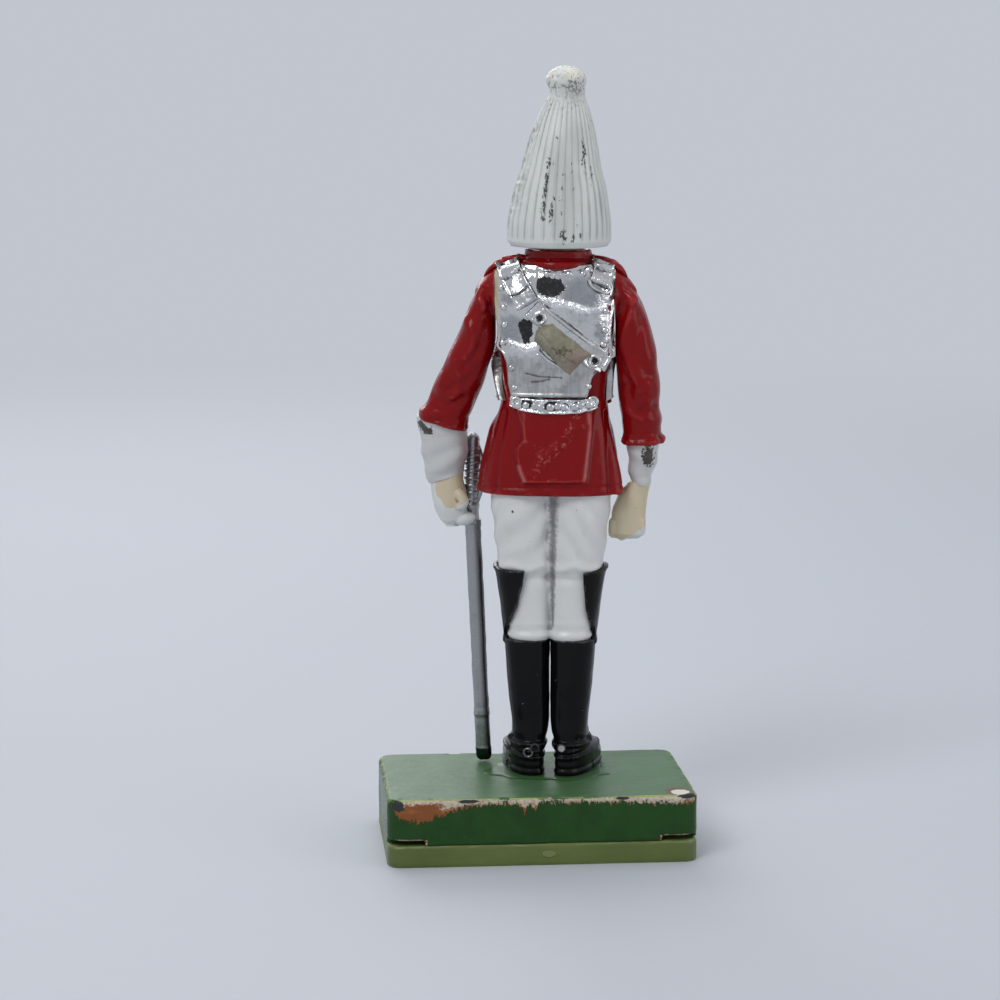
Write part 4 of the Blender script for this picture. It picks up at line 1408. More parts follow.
        corners = np.array([(1.6, 43.35), (-0.1, 45.1), (-3.75, 42.1), (-1.8, 40.1)])
        u, v = steps(44, 4.5, 0.5)[None, :, None], steps(34, 3.3, 0.5)[:, None, None]
        low, high = corners[0] + (corners[3] - corners[0]) * u, corners[1] + (corners[2] - corners[1]) * u
        flat = low + (high - low) * v
        bulge = np.sin(u * np.pi) * (1 - v) ** 2 * 0.3
        flat = flat + np.array([-0.8, -1.0]) * bulge + np.array([0.5, 0.45]) * np.sin(v * np.pi) * (1 - u) ** 2 * 0.7
        grid = TUNIC.depth(flat[..., 0], flat[..., 1], 1.0)
        gap = np.minimum.reduce(borders(grid))
        flap = 0.13 * ease(v[..., 0] - 0.34 - 0.28 * np.abs(u[..., 0] - 0.5), -0.03, 0.03)
        height = 0.05 + 0.75 * rounded(gap, 0.95) + 0.2 * ease(gap, 0.2, 1.4) + flap * ease(gap, 0, 0.5)
        dress(cast("pouch_box", [sheath(grid, height)], 0,
                   shape=lambda P, N: 0.11 * grain(P, 0.9, 8) + 0.05 * grain(P, 0.4, 9), sharp=75),
              "figure", "pouch_cream", pouch_cream(p), "pouch")
        strip = lying(spline([(1.2, 42.35), (0.3, 41.5), (-0.75, 40.85)], 24), 1.0)
        plate_dress(cast("pouch_edge", [tube(strip, 0.17, 12)], 0))


class OBJECT_OT_soldier_head(Piece, bpy.types.Operator):
    """Head with a calm, plain face, brown hair under the helmet, neck and plug"""
    bl_idname = "object.soldier_head"
    bl_label = "Head"

    def make(self, s, p):
        at = lambda x, y, z: (NECK_X + x, y, z)
        eye_z, nose_z, mouth_z = 56.15, 54.75, 53.78
        parts = [ball(at(0, 0.25, 56.5), (2.72, 3.05, 2.6), 48), ball(at(0, -0.55, 55.3), (2.36, 2.55, 2.75), 48),
                 ball(at(0, -0.95, 53.75), (1.85, 1.95, 1.35), 36), ball(at(0, -2.55, 52.85), (0.72, 0.5, 0.52), 24),
                 lathe([(0, 48.71), (1.3, 48.71), (1.3, 51.6), (2.05, 51.7), (1.95, 53), (2.1, 55), (0, 55)],
                       at(0, 0, 0), 60),
                 finger([at(0, -2.75, 56.55), at(0, -3.1, 55.75), at(0, -3.5, 54.98)], [0.24, 0.3, 0.4]),
                 finger([at(-1.6, -2.35, 56.75), at(0, -2.82, 56.88), at(1.6, -2.35, 56.75)], [0.22, 0.3, 0.22]),
                 *(finger([at(-half, -2.72, mouth_z + ends), at(0, y, mouth_z + middle),
                           at(half, -2.72, mouth_z + ends)], [0.12, r, 0.12]) for half, y, ends, middle, r in (
                               (0.62, -3.06, 0, 0.1, 0.19), (0.52, -3.0, -0.25, -0.27, 0.2)))]
        for k in (-1, 1):
            parts += [ball(at(k * 0.34, -3.12, nose_z), (0.24, 0.32, 0.22), 16),
                      ball(at(k * 1.45, -2.0, 55.2), (0.85, 0.75, 0.8), 24),
                      ball(at(k * 1.02, -2.42, eye_z), (0.52, 0.4, 0.36), 20),
                      ball(at(k * 2.68, 0.25, 55.7), (0.28, 0.55, 0.92), 24, 12),
                      ball(at(k * 2.80, 0.1, 55.75), (0.2, 0.35, 0.6), 16, 12)]

        def features(P, N):
            x, y, z = P[:, 0] - NECK_X, P[:, 1], P[:, 2]
            front = ease(-y, 1.6, 2.2)
            lids, flat = np.zeros(len(P)), np.stack([x, z], 1)
            for k in (-1, 1):
                for rise, high in ((0.27, 0.09), (-0.22, 0.05)):
                    lid = [(k * 1.02 - 0.52, eye_z), (k * 1.02, eye_z + rise), (k * 1.02 + 0.52, eye_z)]
                    lids += high * bell(to_line(spline(lid, 12), flat), 0.09)
            split = -0.12 * bell(z - mouth_z + 0.08, 0.06) * (np.abs(x) < 0.6)
            groove = -0.05 * bell(x, 0.12, z - 54.25, 0.2)
            hair = 0.12 * hair_mask(P) * (1 + 0.6 * np.sin(14 * np.arctan2(y, x) + 3 * z))
            ear = -0.12 * bell(y - 0.25, 0.25, z - 55.75, 0.45) * (np.abs(x) > 2.6)
            return (lids + split + groove) * front + hair + ear + 0.012 * grain(P, 0.6, 2)

        def hair_mask(P):
            x, y, z = P[:, 0] - NECK_X, P[:, 1], P[:, 2]
            line = 54.3 + 1.3 * ease(-y, -1.6, 0.6)
            return ease(y, -0.85, -0.45) * ease(z, line - 0.12, line + 0.12) * (1 - (np.abs(x) > 2.62) * (y < 0.95))

        def pair(cx, cz, a, b):
            return lambda P, N: (P[:, 1] < -1.8) * np.maximum.reduce([
                1.5 - np.hypot((P[:, 0] - NECK_X - k * cx) / a, (P[:, 2] - cz) / b) for k in (-1, 1)])

        brow = [(0.5, 56.74), (1.1, 56.9), (1.65, 56.7)]
        marks = {"hair": lambda P, N: hair_mask(P) + 1.2 * (P[:, 1] < -1.8) * np.maximum.reduce([
                     stroke([(NECK_X + k * x, z) for x, z in brow], P, 0.2) for k in (-1, 1)]),
                 "white": pair(1.02, eye_z + 0.02, 0.34, 0.15), "iris": pair(1.02, eye_z + 0.02, 0.13, 0.15),
                 "lips": pair(0, mouth_z - 0.08, 0.62, 0.27)}
        dress(cast("head_and_neck", parts, s.fine / MM, 2, features, marks, FIGURE, 80), "head_group", "skin_paint",
              flesh(p), "head")


class OBJECT_OT_soldier_helmet(Piece, bpy.types.Operator):
    """Plated helmet with banded dome, peak, neck guard, plain star and spike, and its chin chain"""
    bl_idname = "object.soldier_helmet"
    bl_label = "Helmet and chain"

    def make(self, s, p):
        metal, brass = silver(p, "helmet plating", (0.62, 0.63, 0.64)), silver(p, "brass plating", p.brass)
        parts = [loft(HELMET.skin(levels(BRIM, CROWN - 0.01, 50, 0.3), 96))]
        u, v = steps(60, 9.0, 0.4)[None, :], steps(24, 3.4, 0.4)[:, None]
        a = 5 + 170 * u
        guard = HELMET.at(a, BRIM + 0 * v, -0.05)
        hem = 0.22 * (1 - v) ** 2 * np.sin(np.radians(a))
        guard = guard + np.stack([0 * hem, hem, -3.42 * (1 - v) + 0.15 + 0 * a], -1)
        parts.append(sheath(guard, 0.2 + 0.13 * (1 - ease(v, 0.05, 0.12)) + 0 * u, (NECK_X, -1, 55)))
        u, v = steps(50, 6.0, 0.3)[None, :], steps(14, 1.3, 0.25)[:, None]
        a = 221 + 98 * u
        out = 1.28 * (1 - v) * np.sin(u * np.pi) ** 0.7
        peak = HELMET.at(a, BRIM + 0.25 + 0 * v, -0.26) + np.stack([0 * out, -out, -0.45 * out - 0.1], -1)
        parts.append(sheath(peak, 0.24 + 0.08 * (1 - ease(v, 0.08, 0.2)) + 0 * u, (NECK_X, -3, 50)))
        parts.append(lathe([(0, 60.4), (0.95, 60.5), (0.85, 61.0), (0.5, 61.3), (0.5, 64.0), (0.4, 64.12), (0, 64.12)],
                           (NECK_X, 0, 0), 36))
        for k in (-1, 1):
            parts.append(ball(HELMET.at(0 if k > 0 else 180, BRIM + 0.12, 0.02), (0.28, 0.55, 0.55), 20))

        def worked(P, N):
            x, y, z = P[:, 0] - NECK_X, P[:, 1], P[:, 2]
            band = 0.10 * bell(z - 58.15, 0.14) + 0.07 * bell(z - 58.6, 0.1)
            ribs = 0.09 * (bell(x, 0.2) + bell(y, 0.2) * (z > 58.7)) * (z > 58.5)
            scroll = 0.05 * np.sin(9 * np.arctan2(y, x)) * bell(z - 58.38, 0.12)
            return (band + ribs + scroll) * (z < 61.0)

        dress(cast("helmet_shell", parts, s.fine / MM, 1, worked, None, FIGURE, 60), "head_group", "helmet_chrome",
              metal, "helmet")
        c = np.array([NECK_X, -3.62, BRIM + 1.62])
        star, a = [], np.arange(16) * math.pi / 8
        for radius, inner, deep in ((1.15, 0.42, 0.2), (0.62, 0.40, 0.34)):
            r = np.where(np.arange(16) % 2 == 0, radius, inner)
            rim = np.stack([r * np.sin(a), 0 * a, r * np.cos(a)], 1)
            rings = [rim * (share, 1, share) + (0, y, 0) for share, y in (
                (1, 0.35), (1, -0.05), (0.5, -deep), (0.05, -deep - 0.06))]
            star.append(loft(np.array(rings) + c))
        star.append(ball(c + (0, -0.3, 0), (0.26, 0.16, 0.26), 20))
        dress(cast("plain_star", star, 0, sharp=30), "head_group", "helmet_chrome", brass)
        share = np.linspace(-1, 1, 30)
        z = 0.12 + 0.72 * np.abs(share) ** 1.5
        path = HEAD.at(270 + 78 * share, CHIN + 5.7 * z, 0.30)
        path[:, 2] += 0.1
        dress(repeat("chin_chain_links", path, np.gradient(path, axis=0), 1.0, "link", 0.27, 0.085),
              "head_group", "chain_brass", brass, "chin_chain")


class OBJECT_OT_soldier_plume(Piece, bpy.types.Operator):
    """White plume that hangs in soft flutes all round the helmet, parted over the face, with its ball"""
    bl_idname = "object.soldier_plume"
    bl_label = "Plume"

    def make(self, s, p):
        low, high = 52.225, 67.425
        wide, deep = 9.73, 9.93
        table = np.array([[0, 0.505, 0.495], [0.04, 0.52, 0.505], [0.13, 0.518, 0.507], [0.24, 0.495, 0.49],
                          [0.36, 0.46, 0.455], [0.48, 0.405, 0.41], [0.61, 0.36, 0.36], [0.73, 0.31, 0.31],
                          [0.86, 0.24, 0.24], [0.915, 0.198, 0.198], [0.955, 0.178, 0.178], [1, 0.174, 0.174]])
        hole = np.array([[0, 0.393, 0.440], [0.386, 0.357, 0.399], [0.40, 0.364, 0.406], [0.42, 0.345, 0.391],
                         [0.47, 0.32, 0.37], [0.62, 0.14, 0.16]])
        crown, n = 0.5855, 540
        a = np.linspace(0, 360, n, endpoint=False)
        part = crown * np.interp(np.abs(a - 270), [0, 16, 31, 41, 48, 53, 75],
                                 [0.99, 0.97, 0.85, 0.56, 0.14, 0.03, 0.022])
        part = smoothed(part, np.stack([np.arange(n), (np.arange(n) + 1) % n], 1), 6, 0.6)
        rad = np.radians(a)

        def ring(rows, z, off, lean):
            x = curve(rows[:, 0], rows[:, 1], z) * wide + off
            y = curve(rows[:, 0], rows[:, 2], z) * deep + off
            return np.stack([NECK_X + lean * z * z + x * np.cos(rad), y * np.sin(rad), low + z * (high - low)], -1)

        rings = [ring(hole, part + (0.62 - part) * t, 0, 0) for t in np.linspace(1, 0, 16)]
        inner, outer = rings[-1], ring(table, part, 0, -0.75)
        for d, up in ((0.25, -0.012), (0.5, -0.018), (0.75, -0.016)):
            rings.append(inner + (outer - inner) * d + (0, 0, up * (high - low)))
        marks = [np.zeros(n) for _ in rings]
        flutes, depth = s.flutes, s.flute / MM
        for t in np.concatenate([[0, 0.006, 0.014, 0.026, 0.04], np.linspace(0.055, 1, 130)]):
            z = part + (1 - part) * t
            C = np.stack([4 * np.cos(rad), 4 * np.sin(rad), 5.0 * z + 0 * rad], 1)
            phase = flutes * rad + 1.6 * np.sin(2 * rad + 1) + 1.2 * grain(C, (1.6, 1.6, 5), 3) \
                + 0.9 * grain(C, (3, 3, 2), 8)
            rib = np.abs(np.sin(phase / 2))
            fine = np.abs(np.sin(phase * 1.5 + 2.0 * grain(C, 1.2, 5)))
            size = depth * (0.75 + 0.5 * grain(C, 2.0, 11)) * ease(t, 0.0, 0.05) * (1 - 0.45 * ease(z, 0.5, 1.0)) \
                * (0.55 + 0.45 * ease(t, 0.02, 0.2)) * (1 - ease(z, 0.88, 0.95))
            layer = 0.0
            for at, amount in ((33, 0.16), (148, 0.08), (200, 0.1), (340, 0.1)):
                gap = (a - at - 4 * z + 180) % 360 - 180
                layer = layer - amount * bell(gap, 2.2) * ease(z, 0.1, 0.25) * (1 - ease(z, 0.8, 0.95))
            rough = 0.16 * grain(C * (1, 1, 3), (0.7, 0.7, 0.35), 4) * bell(a - 22, 16) \
                * ease(z, 0.12, 0.3) * (1 - ease(z, 0.75, 0.9))
            off = rough - size * (1 - rib ** 0.8) - 0.22 * size * (1 - fine) + layer + 0.05 * grain(C, 1.5, 6) \
                - 0.12 * (1 - ease(t, 0, 0.015))
            rings.append(ring(table, z, off, -0.75))
            mark = np.clip(1 - rib ** 0.7 + 0.3 * (1 - fine) - layer * 2 + 4 * np.abs(rough), 0, 1)
            marks.append(mark * ease(t, 0.0, 0.06) * (1 - ease(z, 0.88, 0.95)))
        grid = np.array(rings)
        streaks = [([(0.34, 60.5), (0.53, 58.9), (0.65, 57.5), (0.84, 55.8), (0.84, 54.9)], 1.0),
                   ([(-0.09, 57.0), (0.03, 55.8), (0.09, 54.6)], 0.95),
                   ([(-1.14, 59.3), (-0.96, 57.65), (-0.77, 56.3), (-0.84, 55.4)], 0.72),
                   ([(-2.88, 62.4), (-2.94, 60.75), (-3.06, 58.8)], 0.9), ([(-3.62, 59.75), (-3.68, 58.15)], 0.8),
                   ([(-0.34, 62.7), (-0.22, 60.1)], 0.5), ([(-2.07, 58.3), (-2.26, 56.2)], 0.55),
                   ([(-0.71, 65.3), (-0.71, 64.7)], 0.65), ([(-1.7, 65.9), (-1.82, 65.2)], 0.55),
                   ([(-2.26, 65.3), (-2.44, 63.5)], 0.5), ([(0.28, 62.0), (0.34, 61.2)], 0.5),
                   ([(-1.2, 53.9), (-0.84, 53.4), (-1.3, 53.1), (-1.08, 52.6)], 1.0),
                   ([(-2.1, 53.3), (-1.95, 52.7)], 1.0),
                   ([(-2.8, 53.45), (-2.88, 52.6)], 0.75), ([(-2.2, 57.5), (-2.5, 54.0)], 0.5),
                   ([(-1.5, 61.8), (-1.8, 59.4)], 0.5), ([(-3.4, 64.6), (-3.5, 63.2)], 0.5)]
        band = spline([(2.0, 63.2), (3.0, 60.1), (3.6, 58.3), (4.1, 55.8), (4.5, 54.1)], 20)

        def wear(P, N):
            best = np.zeros(len(P))
            for line, weight in streaks:
                gap = to_line(line, view(P))
                best = np.maximum(best, weight * np.clip(1.4 - gap / 0.3, 0, 1))
                best = np.maximum(best, 0.42 * weight * np.clip(1.3 - gap / 0.9, 0, 1))
            front = 0.5 * stroke([(0.9, 64), (2.4, 58)], P, 0.3, 1.1)
            return np.where(P[:, 1] > 0.8, best, np.where(P[:, 1] < -0.8, front, 0))

        r, top = 1.93, 67.95
        knob_h = np.radians(np.linspace(-78, 89, 44))
        knob_a = np.linspace(0, 2 * np.pi, 64, endpoint=False)
        knob = np.array([[(NECK_X - 0.72 + r * math.cos(h) * math.cos(q), r * math.cos(h) * math.sin(q),
                           top + 1.44 * math.sin(h)) for q in knob_a] for h in knob_h])
        neck = lathe([(0, 65.6), (1.25, 65.6), (1.62, 66.0), (1.72, 66.6), (1.74, 67.2), (0, 67.3)],
                     (NECK_X - 0.7, 0, 0), 48)
        lumps = 0.07 * grain(knob.reshape(-1, 3), 0.7, 3) + 0.04 * grain(knob.reshape(-1, 3), 0.3, 5)
        knob = knob + (0.1, 0, 0) + lumps.reshape(knob.shape[:2])[..., None] * np.cos(knob_h)[:, None, None]

        def groove(P, N):
            known = dict(zip(map(tuple, np.round(grid.reshape(-1, 3), 3).tolist()), np.array(marks).reshape(-1)))
            return np.array([known.get(tuple(point), 0.0) for point in np.round(P, 3).tolist()])

        ball_part = lambda P: ease(P[:, 2], 66.9, 67.4)
        fields = {"groove": groove, "wear": wear,
                  "band": lambda P, N: stroke(band, P, 0.45, 1.2) * ease(P[:, 1], -0.9, 0.3)
                  * (1 - ease(P[:, 1], 1, 2)),
                  "speckle": lambda P, N: np.clip(ball_part(P) + 0.5 * ease(P[:, 2], 63.5, 66), 0, 1),
                  "cream": lambda P, N: ball_part(P) * ease(P[:, 2], 67.6, 68.6)}
        dress(cast("hanging_plume", [loft(grid), loft(knob), neck], 0, marks=fields, sharp=80), "head_group",
              "plume_white", plume_white(p), "plume")


class OBJECT_OT_soldier_arms(Piece, bpy.types.Operator):
    """Red sleeves with their folds, white gauntlets with flared cuffs, and the hands"""
    bl_idname = "object.soldier_arms"
    bl_label = "Arms"

    def make(self, s, p):
        red = bpy.data.materials["gloss red"]
        white, hand = plain_white(p, "gauntlet white", False), hand_paint(p)
        high, step = s.fold / MM, s.skin / MM
        left_folds = [
            ([(6.5, 48.4), (7.1, 47.5), (6.6, 46.3)], 0.42, 1.0), ([(8.4, 45.2), (7.7, 43.4), (8.3, 41.5)], 0.5, 0.9),
            ([(6.3, 44.8), (6.9, 42.6), (8.6, 40.4)], 0.5, -0.8), ([(9.6, 41.0), (8.9, 39.2), (9.6, 37.6)], 0.5, 0.7),
            ([(7.2, 40.6), (8.4, 39.2), (10.2, 38.4)], 0.45, -0.7),
            ([(8.6, 37.4), (10.0, 36.9), (11.6, 37.6)], 0.45, -0.8),
            ([(5.9, 46.9), (6.5, 45.6)], 0.4, -0.5), ([(10.6, 39.6), (10.9, 38.4)], 0.4, 0.5)]
        right_folds = [
            ([(-6.36, 48.7), (-7.1, 47.7), (-7.75, 47.0)], 0.38, 1.0),
            ([(-7.9, 48.4), (-7.6, 46.2), (-6.7, 43.2), (-8.5, 38.4)], 0.5, 1.0),
            ([(-7.1, 46.4), (-6.1, 42.9), (-7.6, 38.8)], 0.45, -0.9),
            ([(-8.8, 45.4), (-8.2, 42.4), (-9.3, 39.9)], 0.5, -0.8),
            ([(-9.2, 39.2), (-9.35, 36.8)], 0.4, 0.9), ([(-7.0, 38.6), (-8.4, 36.6), (-9.8, 36.9)], 0.5, -0.9),
            ([(-7.0, 36.4), (-8.6, 35.6)], 0.4, 0.5), ([(-8.9, 48.0), (-9.0, 45.9)], 0.45, 0.5)]
        for side, arm, sleeve, folds, slope in ((1, "left", LEFT_SLEEVE, left_folds, CUFF_SLOPE),
                                                (-1, "right", RIGHT_SLEEVE, right_folds, 0.05)):
            foot = CUFF - (0.3 if side > 0 else 1.6)
            rows = sleeve.skin(levels(foot, CUFF + 14.2, 64, 0.4), 96)
            rows[..., 2] += slope * (side * rows[..., 0] - CUFF_MIDDLE) * (1 - ease(rows[..., 2] - foot, 0, 3))
            parts = [loft(rows)]
            flat_x = TORSO_X + side * ARM_X
            dome = [(2.7 * (1 - k) ** 0.6, side * 2.1 * k) for k in np.sin(np.linspace(0, np.pi / 2, 20))]
            parts.append(lathe([(0, 0)] + dome, (flat_x, 0, PIVOT), 72, "X"))
            parts.append(lathe([(0, 0), (1, 0), (1, -side * 2.0), (0, -side * 2.0)],
                               (TORSO_X + side * 5.81, 0, PIVOT), 40, "X"))
            cuff = np.array([sleeve.at(q, foot + 0.3, -0.12) for q in range(0, 361, 12)])
            cuff[:, 2] += slope * (side * cuff[:, 0] - CUFF_MIDDLE)
            parts.append(tube(cuff, 0.3, 12))

            def folded(P, N):
                flat = view(P) + (P[:, 1] < 0)[:, None] * np.array([0.3 * side, 0.9])
                clear = ease(side * (P[:, 0] - flat_x), 0.05, 0.7)
                out = np.zeros(len(P))
                for line, width, weight in folds:
                    out += high * 0.85 * weight * bell(to_line(spline(line, 14), flat), width) \
                        * ease(np.abs(N[:, 1]), 0.05, 0.5)
                rise = P[:, 2] - foot
                around = np.arctan2(P[:, 1], side * (P[:, 0] - flat_x) - 2.5)
                out += 0.05 * np.sin(1.5 * P[:, 2] + 2.0 * around) * ease(rise, 1.2, 3) * (1 - ease(rise, 8.5, 11))
                frill = 0.09 * np.sin(7 * around + 2 * np.sin(2.3 * around)) * bell(rise - 0.5, 0.5) \
                    - 0.07 * bell(rise - 1.0, 0.3)
                return (out + frill + 0.03 * grain(P, 1.6, 4)) * clear

            dress(cast(arm + "_sleeve", parts, step * 0.9, 3, folded), arm + "_arm_group", "tunic_red", red,
                  arm + "_arm")

        left_chip, right_chip = [(12.95, 34.75), (12.6, 34.3), (12.0, 34.0)], [(-9.35, 32.4), (-9.3, 31.4)]
        for side, arm, form, tall, line, r in ((1, "left", LEFT_GAUNTLET, 5.6, left_chip, 0.648),
                                               (-1, "right", RIGHT_GAUNTLET, 4.4, right_chip, 0.96)):
            rows = form.skin(levels(WRIST - 0.15, WRIST + tall, 50, 0.4), 96)
            if side > 0:
                rise = rows[..., 2] - WRIST
                rows[..., 2] += CUFF_SLOPE * (rows[..., 0] - CUFF_MIDDLE) * ease(rise, 2, 5) \
                    - 0.34 * (rows[..., 0] - 11.4) * (1 - ease(rise, 0, 3))

            def worked(P, N):
                rise = P[:, 2] - WRIST
                wrist = -0.05 * bell(rise - 0.6, 0.3)
                folds = 0.10 * np.sin(2.4 * P[:, 2] + 1.5 * P[:, 0] * side) * (1 - ease(rise, 2.4, 4.6))
                stitch = -0.04 * bell(rise - 4.55, 0.13)
                return wrist + folds + stitch + 0.04 * grain(P, 1.2, 5)

            marks = {"chip": lambda P, N: (1.05 - to_line(line, view(P)) / r) * (P[:, 1] > -1)}
            dress(cast(arm + "_gauntlet_cuff", [loft(rows)], step * 0.9, 2, worked, marks), arm + "_arm_group",
                  "gauntlet_white", white, arm + "_gauntlet")

        grip, top_y = SWORD.x, -1.58
        parts = [loft(LEFT_PALM.skin(levels(PALM - 0.15, WRIST + 1.3, 48, 0.3), 64))]
        x = TORSO_X + ARM_X + 0.587 * LEFT_WIDE
        for i in range(4):
            z, r = PALM + (0.2 + 0.19 * i) * 4.6, 0.46 - 0.02 * i
            parts.append(finger([(x + 0.6, top_y - 0.9, z + 0.1), (x, top_y - 1.75, z),
                                 (x - 0.75, top_y - 1.95, z - 0.06), (grip + 1.25, top_y - 1.35, z - 0.14)],
                                [r * 0.95, r, r, r * 0.85]))
        parts.append(finger([(x - 0.3, top_y + 0.9, WRIST - 0.9), (x - 1.1, top_y + 1.15, WRIST - 2.0),
                             (grip + 1.5, top_y + 0.75, WRIST - 2.9)], [0.6, 0.52, 0.42]))
        parts.append(finger([(x + 0.2, top_y - 0.2, PALM + 1.3), (x - 0.9, top_y + 0.1, PALM + 0.75),
                             (x - 2.2, top_y + 0.3, PALM + 0.95)], [0.9, 0.8, 0.5]))
        knuckles = lambda P, N: 0.03 * grain(P, 0.7, 3) + 0.05 * grain(P, 1.4, 4)
        marks = {"white": lambda P, N: ease(
            1 - oval(view(P), (9.85, 28.4), (1.75, 2.1)) - 0.12 * grain(P, 0.9, 3), 0.85, 1.1)}
        dress(cast("left_fist", parts, s.fine / MM, 3, knuckles, marks), "left_arm_group", "skin_paint", hand,
              "left_hand")

        parts = [loft(RIGHT_PALM.skin(levels(PALM - 1.0, WRIST + 0.1, 40, 0.3), 64))]
        y = -1.056
        for i in range(4):
            r, x = 0.52 - 0.02 * abs(i - 1.5), TORSO_X - (ARM_X + 0.19 * i * RIGHT_WIDE)
            low = PALM - 1.35 + 0.25 * abs(i - 1.2)
            parts.append(finger([(x, y + 0.35, low + 2.2), (x + 0.02, y + 0.3, low + 1.1),
                                 (x + 0.06, y - 0.3, low + 0.5), (x + 0.1, y - 1.0, low + 0.65)],
                                [r, r, r * 0.95, r * 0.8]))
        x = TORSO_X - (ARM_X + 0.141 * RIGHT_WIDE)
        parts.append(finger([(x - 0.5, y - 0.5, PALM + 3.2), (x - 0.2, y - 1.4, PALM + 2.0),
                             (x - 0.5, y - 1.8, PALM + 0.6)], [0.62, 0.56, 0.46]))
        marks = {"white": lambda P, N: np.clip(1.1 * (1 - ease(P[:, 2] + 0.5 * P[:, 0], 19.2, 20.6)), 0, 1)}
        dress(cast("right_fist", parts, s.fine / MM, 3, knuckles, marks), "right_arm_group", "skin_paint", hand,
              "right_hand")


class OBJECT_OT_soldier_sword(Piece, bpy.types.Operator):
    """Sword hilt with beaded grip, pommel, guard and bow, and the plain scabbard"""
    bl_idname = "object.soldier_sword"
    bl_label = "Sword"

    def make(self, s, p):
        steel = silver(p, "sword silver", p.steel)
        x, y, z = SWORD
        x, z, r, tall = x + 0.15, z + 0.85, 0.76, 7.75
        parts = [lathe([(0, -1.3), (0.86, -1.3), (0.76, 0), (0.8, 0.25), (0.85, 0.62), (0.7, 0.86), (0, 0.9)],
                       (x, y, z), 40),
                 tube([(x - 0.19 * t, y, z + (0.08 + 0.84 * t) * tall) for t in np.linspace(0, 1, 20)], 0.66, 20),
                 lathe([(0, -0.72), (0.3, -0.62), (0.62, -0.3), (0.68, 0), (0.6, 0.3), (0.4, 0.5), (0.2, 0.68),
                        (0, 0.72)], (x - 0.19, y, z + 0.92 * tall), 36),
                 finger([(x - 0.3 - 0.95 * math.sin(math.radians(160 * k + 10)), y, z + (0.06 + 0.86 * k) * tall)
                         for k in np.linspace(0, 1, 9)], [0.2, 0.22, 0.24, 0.22, 0.2], 0.5)]
        dress(cast("hilt_and_guard", parts, 0.1, 1), "left_arm_group", "sword_silver", steel, "sword_hilt")
        share = np.linspace(0.15, 0.80, 8)
        places = [(x - 0.19 * k, y, z + k * tall) for k in share]
        dress(repeat("grip_beads", places, (0, 0, 1), 0.9 + 0.16 * np.sin(share * np.pi), "stud", r, 0.36, 24),
              "left_arm_group", "sword_silver", steel)
        bottom, top = np.array(SCABBARD_FOOT), np.array(SWORD)
        bands = [(0, 0.40), (0.006, 0.52), (0.02, 0.62), (0.05, 0.62), (0.06, 0.59), (0.18, 0.58), (0.19, 0.63),
                 (0.21, 0.62), (0.22, 0.58), (0.6, 0.60), (0.965, 0.60), (0.975, 0.66), (1, 0.66)]
        k = np.unique(np.concatenate([np.linspace(0, 1, 60)] + [[b[0], b[0] + 0.002] for b in bands]).clip(0, 1))
        half = np.interp(k, [b[0] for b in bands], [b[1] for b in bands])
        a = np.linspace(0, 2 * np.pi, 40, endpoint=False)
        ux, uy = (np.sign(u) * np.abs(u) ** 0.72 for u in (np.cos(a), np.sin(a)))
        rings = [bottom + t * (top - bottom) + np.stack([1.3 * h * ux, h * uy, 0 * a], 1) for t, h in zip(k, half)]
        marks = {"side": lambda P, N: ease(bottom[0] + (P[:, 2] - bottom[2]) * 0.0447 - P[:, 0], 0.1, 0.3),
                 "paint": lambda P, N: 1 - ease(P[:, 2], 0.8, 2.2)}
        dress(cast("plain_scabbard", [loft(rings)], 0, marks=marks, sharp=40,
                   shape=lambda P, N: 0.04 * grain(P, 0.9, 3)),
              "left_arm_group", "sword_silver", steel, "scabbard")


# The photograph's camera on the base's own frame: millimetres, direction, degrees and millimetres of lens
CAMERA_PLACE, CAMERA_AIM = Vector((28.84, 276.62, 76.66)), Vector((-0.0903, -0.9843, -0.1514))
CAMERA_ROLL, CAMERA_LENS = 0.13, 103.8


